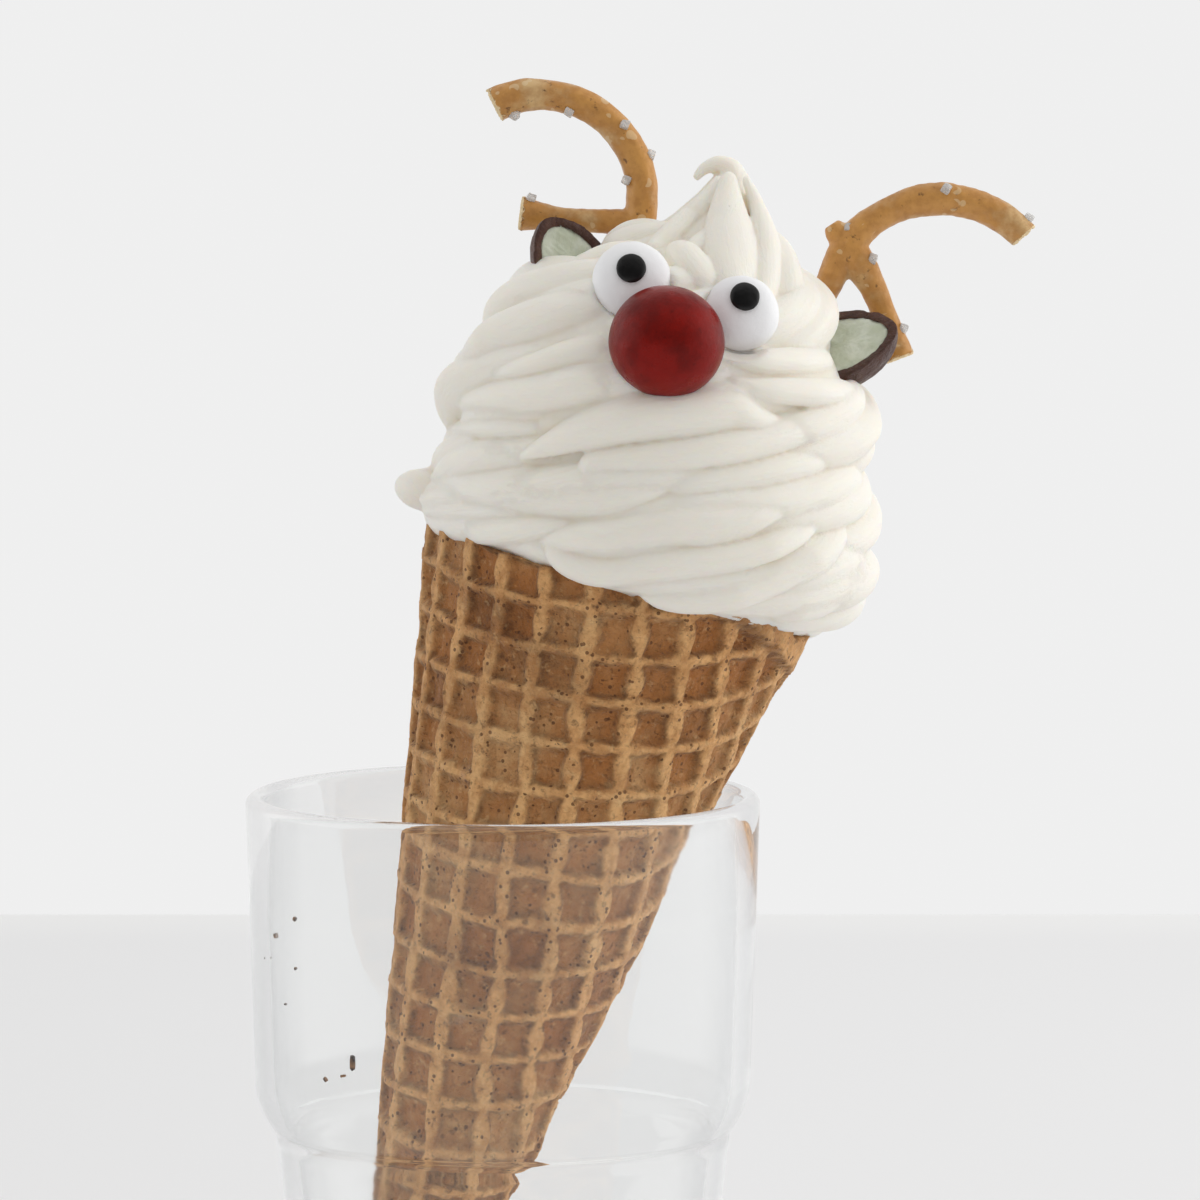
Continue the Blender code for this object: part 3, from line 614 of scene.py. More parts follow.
def baked_wafer():
    """Tan ribs and brown pockets, painted shade on the pocket walls and a painted shadow beside the lapped
    edge, and over them patches, pores and flour.
    """
    finish = Finish("baked wafer", 0.72)
    pressed, toasted = finish.attribute("pressed"), finish.attribute("toasted")
    colour = finish.mix(pressed, WAFER_TAN, WAFER_BROWN)
    # Painted shade on the pocket walls, between rib and pocket, in patches
    edge = finish.sum("MULTIPLY", finish.sum("SUBTRACT", 1.0, pressed), pressed)
    edge = finish.sum("MULTIPLY", finish.patches(260.0, 0.3, 0.55), edge)
    colour = finish.mix(finish.sum("MULTIPLY", edge, 3.0), colour, WAFER_TOASTED)
    light = finish.sum("MULTIPLY", finish.sum("SUBTRACT", 1.0, toasted), finish.patches(48.0, 0.42, 0.62))
    colour = finish.mix(finish.sum("MULTIPLY", light, 0.5), colour, WAFER_PALE)
    dark = finish.sum("MULTIPLY", finish.patches(34.0, 0.50, 0.72), toasted)
    colour = finish.mix(dark, colour, WAFER_TOASTED)
    for mark in WAFER_MARKS:
        colour = finish.blotches(colour, *mark)
    pores = finish.group(CRUMB, "Pores", **WAFER_CRUMB)
    colour = finish.mix(finish.sum("MULTIPLY", pores, 0.8), colour, WAFER_TOASTED)
    dust = finish.sum("MULTIPLY", finish.patches(26.0, 0.60, 0.72), finish.patches(210.0, 0.44, 0.62))
    colour = finish.mix(finish.sum("MULTIPLY", dust, 0.5), colour, FLOUR)
    # A shadow painted beside the lapped edge, in the toasted brown
    colour = finish.mix(finish.sum("MULTIPLY", finish.attribute("lap_shade"), 0.75), colour, WAFER_TOASTED)
    coarse = finish.bump(finish.patches(380.0, 0.2, 0.8), 0.9, 0.0011)
    fine = finish.bump(finish.group(CRUMB, "Height", **WAFER_CRUMB), 0.8, 0.0006, coarse)
    finish.set(Specular_IOR_Level=0.2, Sheen_Weight=0.10, Sheen_Roughness=0.5)
    return finish.wear(colour, None, fine)


wafer = waffle_cone(baked_wafer())
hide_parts("waffle_cone")
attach(wafer, "root")


# Soft serve
# Vanilla soft serve drawn through a star nozzle, wound round and round on the wafer and pulled up
# to a pleated peak whose thin end curls over to the left. Smooth, cold and slightly glossy.
LOBES = 7
LOBE_REACH, LOBE_RADIUS = 6.2, 3.6
ROPE_TWIST = 1.35
SWIRL_TURNS = 4.3
SWIRL_LEAN = math.radians(4.0)
SWIRL_START = math.radians(190.0)
FORWARD_LEAN = 3.0
# By turns of the swirl: the rope's distance from the axis, its height, and its size
ROPE_FROM_AXIS = [(0, 35.0), (0.12, 30.0), (0.22, 29.5), (0.3, 29.0), (0.5, 31.0), (1, 27.5), (1.5, 29.0),
                  (2, 27.0), (2.5, 25.0), (3, 21.5), (3.5, 15.5), (4, 7.0), (SWIRL_TURNS, 2.0)]
ROPE_HEIGHT = [(0, 6.0), (0.12, 6.7), (0.22, 5.9), (0.3, 5.8), (0.5, 6.5), (1, 12.0), (1.5, 18.0),
               (2, 26.0), (2.5, 32.0), (3, 38.5), (3.5, 46.0), (4, 51.5), (SWIRL_TURNS, 55.0)]
ROPE_SIZE = [(0, 0.34), (0.1, 0.6), (0.3, 0.92), (0.5, 1.0), (3, 1.05), (3.5, 1.0), (4, 0.75),
             (SWIRL_TURNS, 0.4)]
PEAK_RADIUS = [(44, 20.0), (50, 17.5), (55, 14.3), (60, 10.0), (64, 6.4), (67, 4.2), (69.3, 2.6), (70.6, 1.2)]
PLEATS = 7
CORE_ROOM = 3.3
# The peak's tip curls over to the left: across, height and radius
CURL = [(0.9, 64.5, 3.6), (0.6, 67.5, 2.9), (-0.4, 69.6, 2.0), (-2.6, 70.0, 1.4), (-4.6, 68.6, 1.0),
        (-5.6, 66.6, 0.6)]
# The swirl's outline: height above the mouth, middle and half width
OUTLINE = [(-4, 1.0, 33.0), (4, 3.4, 36.8), (12, 4.2, 37.4), (19, 2.0, 36.8), (25, -0.5, 36.7),
           (31, -1.9, 35.2), (38, 0.3, 32.8), (46, -0.2, 26.2), (50, -1.0, 22.5), (54.5, 1.7, 16.8),
           (60, 3.2, 10.8), (65, 1.6, 5.9), (70, 1.0, 2.0)]
FRONT_ROOM, BACK_ROOM, LEFT_ROOM = 1.2, 0.6, 2.6
# Ends of folds that stay out of the cream, by fold: its first end, its last end
FREE_ENDS = {"left tip": (True, False), "above the drop": (True, False), "peak, left wing": (False, True),
             "peak, middle": (True, False), "peak, right": (True, False), "between the eyes": (True, False),
             "front foot": (True, False)}
FOLD_TILT = 0.15
FOLD_EDGE = 1.35
# The larger folds on the front: how far each stands out, then its right, height and half width
FOLDS = {
    "under the nose": (1.2, [(-22.2, 14.4, 0.5), (-17.7, 17.9, 2), (-13, 21.6, 3.1), (-7.3, 25, 3.6),
                             (-1.4, 27.6, 3.9), (4.6, 29.6, 3.7), (9.9, 31.5, 3.4), (14.1, 31.2, 2.2),
                             (19, 31.6, 0.9)]),
    "above the drop": (0.9, [(-8.4, 13.7, 0.6), (-9.6, 14.9, 1.4), (-10.2, 16.8, 2), (-7.2, 18.2, 2.3),
                             (-1.1, 20.5, 2.4), (6.4, 23.5, 2.4), (15.3, 27.8, 2.8), (21.3, 31, 2.6),
                             (27.9, 31.9, 1.5)]),
    "below the drop": (0, [(0.3, 15.8, 2), (7.7, 19, 2.3), (16.7, 22.7, 2.4),
                           (25.9, 27, 2.3), (31.2, 29.4, 1.5)]),
    "left tip": (0.9, [(-40.2, 4.9, 2.7), (-38, 5.3, 2.8), (-34.6, 6.6, 3.1), (-27.5, 8.1, 3.6),
                       (-19.7, 10.1, 4.2), (-12.5, 11.3, 3.6), (-5.6, 13.1, 3.3), (-1.2, 15, 2.1),
                       (3.6, 17.3, 0.8)]),
    "left foot": (0.3, [(-31, 2.7, 1.5), (-25.7, 2.1, 2.8), (-19.4, 3.5, 2.3),
                        (-14.9, 5.1, 1.5), (-9.8, 7.4, 0.7)]),
    "middle": (1, [(-15.1, 2.8, 1), (-9.1, 5.1, 2.3), (-2.4, 7.7, 3.1), (4.8, 11.5, 3.7),
                   (10.8, 13.6, 4.1), (16.3, 15.4, 3.3), (20.6, 17.7, 2), (25, 19.6, 0.8)]),
    "right of the middle": (0.2, [(20.9, 17.7, 2), (25.2, 20.2, 2.3),
                                  (30.6, 23.1, 2.3), (34.8, 25.1, 1.3)]),
    "front foot": (0.4, [(-13.6, 2.6, 1.5), (-9.4, 1.1, 2.6), (-3.8, 1.2, 2.9), (3.6, 4, 2.8),
                         (11.1, 6.9, 2.6), (20.1, 10.7, 2.3), (25.8, 14.7, 2), (30.1, 18.3, 1)]),
    "right foot": (0.2, [(3.3, -0.5, 0.8), (7.4, -0.4, 2.1), (12.8, 1.3, 3.1), (18.8, 3.8, 3.3),
                         (25.2, 7.9, 2.9), (31.6, 13.2, 2.9), (35.8, 18, 2.1)]),
    "right corner": (-0.2, [(26.4, 1.6, 1.6), (30.5, 3.8, 2.9), (35.3, 7, 3.3),
                            (38.9, 11.2, 2.6), (40.7, 15, 1.3)]),
    "behind the left eye": (0.3, [(-24.6, 44.5, 1.3), (-21, 47.7, 2),
                                  (-16.6, 50.1, 2.8), (-11.2, 51.8, 2.8)]),
    "left top edge": (0, [(-29.8, 41.5, 0.8), (-26.6, 43.8, 1.1), (-22.9, 45.5, 0.8)]),
    "left top": (0.5, [(-32.7, 37, 1.1), (-28.1, 39.9, 1.5), (-22.5, 44, 1.6), (-16.4, 46.2, 2)]),
    "left upper": (1, [(-36.1, 25.8, 2.4), (-33.2, 31, 3.9), (-28.4, 34.9, 4.2),
                       (-22.7, 38.7, 3.9), (-15.5, 42.7, 3.6)]),
    "left hollow": (-0.6, [(-32.4, 25.5, 0.8), (-25.1, 29.4, 1.8),
                           (-19.5, 32.9, 2.4), (-12.9, 35.9, 3.3)]),
    "peak, left wing": (0.7, [(-11.5, 52.9, 1), (-8.6, 56.4, 2.1), (-5.4, 60.8, 2.3), (-3.1, 64.9, 1.5),
                              (-1.8, 68.1, 0.8)]),
    "peak, middle": (1, [(-0.6, 69.1, 1), (0, 65.2, 2.3), (1.0, 60.9, 3.7), (2.8, 56.7, 4.6),
                         (4.8, 52, 4.4), (7.0, 46.5, 3)]),
    "peak, right": (0.7, [(1.9, 69.1, 0.7), (5.3, 65.4, 1.5), (7.9, 61.6, 2.4), (9.6, 57.4, 2.8),
                          (10.6, 52, 2.6), (11, 46, 1.5)]),
    "behind the peak": (0.2, [(-6, 51.9, 1.3), (-2.4, 56.7, 2), (-0.5, 59.7, 1.6)]),
    "left middle": (0.3, [(-35.8, 20.8, 1.8), (-29.9, 22.7, 2.6), (-22.4, 25.5, 3.1),
                          (-15.1, 29, 3.3), (-9.8, 31, 2.9)]),
    "left small": (0.2, [(-35.6, 15.7, 1.5), (-30.2, 17.6, 2),
                         (-24.7, 19.2, 1.6), (-20.6, 20.4, 1)]),
    "left low": (0, [(-34.3, 12.2, 1.8), (-29, 13.7, 2), (-23, 16.2, 1.5), (-18, 19, 1)]),
    "between the eyes": (0.7, [(-7.4, 54.6, 2), (-4.8, 53.2, 2.9), (-1.6, 51, 3.2), (1.8, 48.3, 3)]),
    "right of the eye": (0.8, [(11.3, 61.2, 2), (13.3, 57.9, 3.3), (14.9, 54.1, 3.7), (16, 50.1, 3.4),
                               (16.3, 46.5, 2)]),
    "right upper": (0, [(13.4, 46, 1.8), (18.7, 47.7, 2.3), (24.3, 48.2, 1.6)]),
    "right of the nose": (0.3, [(5.4, 40, 0.7), (11.8, 40.3, 1.8),
                                (18.3, 41.8, 2.3), (26.4, 43.6, 1.8)]),
    "right middle": (0.3, [(8.4, 35.8, 0.7), (13.8, 36, 1.8), (19.5, 37.1, 2.3),
                           (28, 39.2, 2.1), (32.6, 39.7, 1.1)]),
    "right low": (0, [(20.9, 32.3, 0.8), (27.5, 34.2, 1.6), (32.7, 35.5, 1.5)]),
}
# A blunt end of cream that sticks out at the left: its middle and its three radii
KNOB_PLACE, KNOB_SIZE = (-34.6, -0.6, 4.8), (4.9, 5.6, 3.3)
NOSE_PLACE, NOSE_TOWARD = (-3.5, -34.0, 39.1), (0, -1, 0)
EYE_PLACES = {"left": (-11.4, -24.6, 47.1), "right": (6.9, -25.6, 46.8)}
EYE_TOWARD = (0, -1, 0.09)
# Where the nose and the eyes press the cream in: place, direction, radius, how far, how steeply,
# and how far behind it the cream is solid
SWEETS = [(NOSE_PLACE, NOSE_TOWARD, 8.3, 2.2, 4.0, 1.2),
          (EYE_PLACES["left"], EYE_TOWARD, 6.3, 0.6, 2.2, 0.6),
          (EYE_PLACES["right"], EYE_TOWARD, 6.1, 0.6, 2.2, 0.6)]
SEAT_LESS = 0.8
SKIRT_PLACE, SKIRT_HEIGHT, SKIRT_WAVER, SKIRT_RADIUS = 30.2, 2.4, 0.5, 3.5
CREAM_VOXEL = 0.36
CREAM_TRIANGLES = 192000
CREAM = (0.895, 0.86, 0.782)
CREAM_LIGHT = (0.93, 0.90, 0.84)
# The painted yellow shade in the creases: its colour, the crease depths in mm where it begins and where it is
# whole, and its strength
CREAM_CREASE_SHADE = (0.85, 0.69, 0.42)
CREASE_SHADE_DEPTH, CREASE_SHADE_STRENGTH = (0.12, 1.6), 0.75
STREAK_STRETCH = (1.0, 0.09, 1.0)


def unit(vectors):
    return vectors / np.linalg.norm(vectors, axis=-1, keepdims=True)


def shut_tube(rings):
    """Points and faces of a tube through rings of points, shut at both ends by fans."""
    rings = np.asarray(rings)
    rows, around = rings.shape[:2]
    points = np.concatenate([rings.reshape(-1, 3), [rings[0].mean(axis=0)], [rings[-1].mean(axis=0)]])
    faces = ring_faces(rows, around)
    first, last = len(points) - 2, len(points) - 1
    for column in range(around):
        beside = (column + 1) % around
        faces.append((first, beside, column))
        faces.append((last, (rows - 1) * around + column, (rows - 1) * around + beside))
    return points, faces


def lobe_distance(angle, turn):
    """How far the rope's star section reaches at angles about the rope."""
    reach = np.full(angle.shape, 6.5)
    for lobe in range(LOBES):
        middle = 2 * math.pi * lobe / LOBES + 0.16 * math.sin(2.4 * lobe + 4.1 * turn)
        radius = LOBE_RADIUS + 0.55 * math.sin(1.9 * lobe + 2.3 * turn)
        off = (angle - middle + math.pi) % (2 * math.pi) - math.pi
        under = radius ** 2 - (LOBE_REACH * np.sin(off)) ** 2
        inside = (under > 0) & (np.cos(off) > 0)
        far = LOBE_REACH * np.cos(off) + np.sqrt(np.maximum(under, 0))
        reach = np.where(inside, np.maximum(reach, far), reach)
    return reach


def rope_middle(turn):
    angle = SWIRL_START + 2 * math.pi * turn
    distance = along(ROPE_FROM_AXIS, turn) + 0.6 * math.sin(5.1 * turn + 1)
    distance -= FRONT_ROOM * max(0.0, -math.sin(angle)) ** 1.5 + BACK_ROOM * max(0.0, math.sin(angle))
    height = along(ROPE_HEIGHT, turn)
    distance -= LEFT_ROOM * max(0.0, -math.cos(angle)) ** 1.5 * max(0.0, 1 - height / 26)
    forward = FORWARD_LEAN * min(1.0, max(0.0, (height - 18) / 25))
    place = Vector((distance * math.cos(angle) + 1.5, distance * math.sin(angle) - forward, height))
    return Matrix.Rotation(-SWIRL_LEAN, 3, "Y") @ place


def rope_rings(steps, around):
    """The rope's rings, and for each point its place in the cream's flow: across and along, in mm."""
    upward = Matrix.Rotation(-SWIRL_LEAN, 3, "Y") @ Vector((0, 0, 1))
    angle = np.linspace(-math.pi, math.pi, around, endpoint=False)
    rings, flow = [], []
    travelled, last = 0.0, None
    for step in range(steps + 1):
        turn = SWIRL_TURNS * step / steps
        middle = rope_middle(turn)
        travelled += (middle - last).length if last is not None else 0.0
        last = middle
        ahead = (rope_middle(turn + 0.002) - rope_middle(turn - 0.002)).normalized()
        outward = ahead.cross(upward).normalized()
        side = outward.cross(ahead)
        local = angle - 2 * math.pi * ROPE_TWIST * turn
        reach = lobe_distance(local, turn)
        spot = np.column_stack([np.cos(local) * 6, np.sin(local) * 6, np.full(around, travelled * 0.16)])
        reach = (reach + 0.45 * hills(spot, 5.5, 31, 3)) * along(ROPE_SIZE, turn)
        ring = (np.array(middle) + reach[:, None] * (np.cos(angle)[:, None] * np.array(outward)
                                                     + np.sin(angle)[:, None] * np.array(side)))
        rings.append(ring)
        flow.append(np.column_stack([local * 9, np.full(around, travelled), np.zeros(around)]))
    return np.array(rings), np.array(flow)


def peak_rings(rows, around):
    angle = np.linspace(0, 2 * math.pi, around, endpoint=False)
    low, high = PEAK_RADIUS[0][0], PEAK_RADIUS[-1][0]
    rings, flow = [], []
    for row in range(rows + 1):
        height = low + (high - low) * row / rows
        middle = np.array([4.6 - (height - low) * 0.16, -2.0 + (height - low) * 0.06, height])
        turned_by = angle - (height - low) * 0.055
        pleat = 0.5 + 0.5 * np.cos(PLEATS * turned_by + 1.5 * np.sin(2 * angle))
        reach = along(PEAK_RADIUS, height) * (0.76 + 0.24 * pleat ** 0.6)
        circle = np.column_stack([np.cos(angle), np.sin(angle), np.zeros(around)])
        rings.append(middle + reach[:, None] * circle)
        flow.append(np.column_stack([turned_by * 12 + 400, np.full(around, height), np.zeros(around)]))
    return np.array(rings), np.array(flow)


def curl_rings(rows, around):
    """The thin end of the cream, bent over beside the peak."""
    spots = [index / (len(CURL) - 1) for index in range(len(CURL))]
    angle = np.linspace(0, 2 * math.pi, around, endpoint=False)
    rings, flow = [], []

    def middle(share):
        return Vector((along(list(zip(spots, [knot[0] for knot in CURL])), share), -0.6,
                       along(list(zip(spots, [knot[1] for knot in CURL])), share)))

    for row in range(rows + 1):
        share = row / rows
        ahead = (middle(min(share + 0.01, 1)) - middle(max(share - 0.01, 0))).normalized()
        side = np.array(ahead.cross(Vector((0, 1, 0))).normalized())
        radius = along(list(zip(spots, [knot[2] for knot in CURL])), share)
        rings.append(np.array(middle(share)) + radius * (np.cos(angle)[:, None] * side
                     + 1.25 * np.sin(angle)[:, None] * np.array([0, 1, 0])))
        flow.append(np.column_stack([angle * 3 + 800, np.full(around, share * 12), np.zeros(around)]))
    return np.array(rings), np.array(flow)


def core_rings(rows, around):
    """The cream behind the rope and the folds, so that the swirl is solid."""
    angle = np.linspace(0, 2 * math.pi, around, endpoint=False)
    heights = [row[0] for row in OUTLINE]
    rings, flow = [], []
    for height in np.linspace(-1, 58, rows + 1):
        reach = np.interp(height, heights, [row[2] for row in OUTLINE]) - CORE_ROOM
        forward = 1.6 + 0.6 * FORWARD_LEAN * min(1.0, max(0.0, (height - 18) / 25))
        middle = np.array([np.interp(height, heights, [row[1] for row in OUTLINE]), -forward, height])
        reach = min(reach, 30.5 + max(0.0, height) * 1.2)
        rings.append(middle + reach * np.column_stack([np.cos(angle), np.sin(angle), np.zeros(around)]))
        flow.append(np.column_stack([angle * 25 + 1200, np.full(around, height), np.zeros(around)]))
    return np.array(rings), np.array(flow)


def outline_front(right, height):
    """How far before the axis the swirl's rounded front lies, and its outward direction there."""
    heights = [row[0] for row in OUTLINE]
    middle = np.interp(height, heights, [row[1] for row in OUTLINE])
    reach = np.interp(height, heights, [row[2] for row in OUTLINE])
    share = np.clip((right - middle) / reach, -1, 1)
    depth = math.sqrt(1 - share ** 2)
    forward = FORWARD_LEAN * min(1.0, max(0.0, (height - 18) / 25))
    return (reach + forward) * depth, Vector((share, -depth, 0.0))


def fold_rings(name, number, around=44):
    """One fold: a thick leaf of cream lying along its line on the swirl's front."""
    proud, knots = FOLDS[name]
    free_start, free_end = FREE_ENDS.get(name, (False, False))
    gaps = [math.dist(knots[index][:2], knots[index + 1][:2]) for index in range(len(knots) - 1)]
    places = [sum(gaps[:index]) for index in range(len(knots))]
    length = places[-1]
    steps = max(12, int(length / 0.6))
    angle = np.linspace(-math.pi, math.pi, around, endpoint=False)
    rings, flow, spots, outs = [], [], [], []
    for step in range(steps + 1):
        at = length * step / steps
        right, height, half = [along([(place, knot[part]) for place, knot in zip(places, knots)], at)
                               for part in range(3)]
        front, out = outline_front(right, height)
        deep = min(3.0, max(0.5, 0.8 * half))
        sunk = 0.0 if free_start else 2.2 * (1 - min(1.0, at / 9)) ** 2
        sunk += 0.0 if free_end else 2.2 * (1 - min(1.0, (length - at) / 9)) ** 2
        spots.append((Vector((right, -front, height)) + out * (proud - deep - sunk), half, deep))
        outs.append(Vector((0.6 * out.x, min(out.y, -0.45), 0)).normalized())
    for step, (spot, half, deep) in enumerate(spots):
        from_end = min(step, steps - step) * length / steps
        rounding = math.sqrt(1 - (1 - min(1.0, (from_end + 0.02) / max(half, 0.4))) ** 2)
        half, deep = half * rounding, deep * rounding
        ahead = (spots[min(step + 1, steps)][0] - spots[max(step - 1, 0)][0]).normalized()
        across = ahead.cross(outs[step]).normalized()
        out = across.cross(ahead)
        lens = np.sign(np.sin(angle)) * np.abs(np.sin(angle)) ** FOLD_EDGE
        lens = lens * deep + FOLD_TILT * half * np.cos(angle)
        rings.append(np.array(spot) + half * np.cos(angle)[:, None] * np.array(across)
                     + lens[:, None] * np.array(out))
        far = np.full(around, length * step / steps)
        flow.append(np.column_stack([angle * half + 1600 + 100 * number, far, np.zeros(around)]))
    return np.array(rings), np.array(flow)


def skirt_rings(steps=220, around=40):
    """Cream that lies on the wafer's rim all around, under the rope and the folds."""
    angle = np.linspace(0, 2 * math.pi, around, endpoint=False)
    rings = []
    for step in range(steps + 1):
        turn = 2 * math.pi * step / steps
        out = np.array([math.cos(turn), math.sin(turn), 0])
        middle = out * SKIRT_PLACE + [0, 0, SKIRT_HEIGHT + SKIRT_WAVER * math.sin(5 * turn)]
        circle = np.cos(angle)[:, None] * out + np.sin(angle)[:, None] * np.array([0, 0, 1])
        rings.append(middle + SKIRT_RADIUS * circle)
    rings = np.array(rings)
    return rings, rings + [7000.0, 0, 0]


def keep_largest(item):
    """Removes every loose scrap but the largest piece of an object's mesh."""
    shape = bmesh.new()
    shape.from_mesh(item.data)
    left, pieces = set(shape.verts), []
    while left:
        start = left.pop()
        found, edge = [start], [start]
        while edge:
            for link in edge.pop().link_edges:
                for corner in link.verts:
                    if corner in left:
                        left.remove(corner)
                        found.append(corner)
                        edge.append(corner)
        pieces.append(found)
    pieces.sort(key=len)
    bmesh.ops.delete(shape, geom=[corner for piece in pieces[:-1] for corner in piece], context="VERTS")
    shape.to_mesh(item.data)
    shape.free()


def knob_rings(rows=24, around=48):
    angle = np.linspace(0, 2 * math.pi, around, endpoint=False)
    rings = []
    for row in range(rows + 1):
        tilt = math.pi * (0.02 + 0.96 * row / rows)
        ring = np.column_stack([np.full(around, -math.cos(tilt)), np.cos(angle) * math.sin(tilt),
                                np.sin(angle) * math.sin(tilt)])
        rings.append(ring * KNOB_SIZE + KNOB_PLACE)
    rings = np.array(rings)
    return rings, rings + [5000.0, 0, 0]


def seat_rings(place, toward, radius, back):
    """A mound of cream behind a sweet that is pushed into the swirl."""
    angle = np.linspace(0, 2 * math.pi, 40, endpoint=False)
    turn = np.array(Vector(toward).to_track_quat("Z", "Y").to_matrix())
    rings = []
    for share in np.linspace(0, 1, 14):
        spread = radius * (0.9 + 0.35 * share)
        depth = np.full(40, -back - 12 * share)
        ring = np.column_stack([np.cos(angle) * spread, np.sin(angle) * spread, depth])
        rings.append(ring @ turn.T + np.array(place))
    rings = np.array(rings)
    return rings, rings + [3000.0, 0, 0]


def press_in(points, place, toward, radius, depth, slope):
    """Pushes cream back from a sweet, less and less with the distance from its edge."""
    way = np.array(Vector(toward).normalized())
    off = points - np.array(place)
    along_way = off @ way
    aside = np.linalg.norm(off - along_way[:, None] * way, axis=1)
    limit = depth + slope * np.maximum(aside - radius, 0)
    pushed = np.where((aside < radius + 5) & (along_way > limit), along_way - limit, 0)
    return points - pushed[:, None] * way


def apply_modifiers(item):
    """Bakes an object's modifiers into its mesh."""
    graph = bpy.context.evaluated_depsgraph_get()
    mesh = bpy.data.meshes.new_from_object(item.evaluated_get(graph))
    item.modifiers.clear()
    item.data = mesh


def remeshed(item, voxel, triangles=None):
    """Makes one closed skin of an object's overlapping shells."""
    join = item.modifiers.new("join", "REMESH")
    join.mode = "VOXEL"
    join.voxel_size = voxel * MM
    join.use_smooth_shade = True
    apply_modifiers(item)
    count = sum(len(face.vertices) - 2 for face in item.data.polygons)
    if triangles and count > triangles:
        coarsen = item.modifiers.new("coarsen", "DECIMATE")
        coarsen.ratio = triangles / count
        apply_modifiers(item)
    item.data.polygons.foreach_set("use_smooth", [True] * len(item.data.polygons))
    return item


def mesh_points(mesh):
    flat = np.empty(len(mesh.vertices) * 3)
    mesh.vertices.foreach_get("co", flat)
    return flat.reshape(-1, 3) / MM


def move_points(mesh, points):
    """Moves a mesh's points to places in millimetres."""
    mesh.vertices.foreach_set("co", (points * MM).ravel())
    mesh.update()


def mesh_edges(mesh):
    flat = np.empty(len(mesh.edges) * 2, dtype=np.int64)
    mesh.edges.foreach_get("vertices", flat)
    return flat.reshape(-1, 2)


def neighbour_mean(values, edges):
    """The mean of each point's neighbours."""
    total = np.zeros_like(values)
    np.add.at(total, edges[:, 0], values[edges[:, 1]])
    np.add.at(total, edges[:, 1], values[edges[:, 0]])
    count = np.bincount(edges.ravel(), minlength=len(values)).astype(float)
    return total / (count[:, None] if values.ndim > 1 else count)


def relaxed(mesh, rounds, strength):
    """Evens out a mesh without shrinking it much."""
    points, edges = mesh_points(mesh), mesh_edges(mesh)
    for index in range(rounds):
        points += strength * (neighbour_mean(points, edges) - points)
        points -= strength * 0.96 * (neighbour_mean(points, edges) - points)
    move_points(mesh, points)


def mesh_normals(mesh):
    flat = np.empty(len(mesh.vertices) * 3)
    mesh.vertex_normals.foreach_get("vector", flat)
    return flat.reshape(-1, 3)


def hollowness(mesh, rounds):
    """How far each point lies below its wider surroundings, in mm."""
    points, edges, normals = mesh_points(mesh), mesh_edges(mesh), mesh_normals(mesh)
    wide = points.copy()
    for index in range(rounds):
        wide += 0.9 * (neighbour_mean(wide, edges) - wide)
    return np.einsum("ij,ij->i", wide - points, normals)

def soft_cream():
    """Cold white cream: light goes into it, fine streaks follow its flow, and its creases get a painted
    yellow shade.
    """
    finish = Finish("soft serve cream", 0.42)
    flow = finish.add("Mapping", Vector=finish.attribute("flow", "Vector"), Scale=STREAK_STRETCH)
    streaks = finish.add("TexNoise", Vector=flow.outputs["Vector"], Scale=1.4, Detail=4.0).outputs["Fac"]
    # Painted yellow shade in the creases, by how deep each point lies below its surroundings
    crease_shade = finish.ramp(finish.attribute("fold"), *CREASE_SHADE_DEPTH, 0.0, CREASE_SHADE_STRENGTH, "LINEAR")
    colour = finish.mix(crease_shade, CREAM, CREAM_CREASE_SHADE)
    colour = finish.blotches(colour, CREAM_LIGHT, 90.0, 0.4, 0.7, 0.25)
    fine = finish.patches(900.0, 0.25, 0.75)
    rough = finish.sum("MULTIPLY_ADD", fine, 0.16, 0.36)
    finish.set(Subsurface_Weight=0.55, Subsurface_Radius=(1.0, 0.75, 0.5), Subsurface_Scale=0.0025,
               Specular_IOR_Level=0.4)
    normal = finish.bump(streaks, 0.35, 0.0007)
    return finish.wear(colour, rough, finish.bump(fine, 0.10, 0.0002, normal))


CREAM_FINISH = soft_cream()


def joined(shapes):
    """The points and faces of several shapes as one list of points and one of faces."""
    points, faces, start = [], [], 0
    for more_points, more_faces in shapes:
        points.append(more_points)
        faces += [tuple(start + corner for corner in face) for face in more_faces]
        start += len(more_points)
    return np.concatenate(points), faces


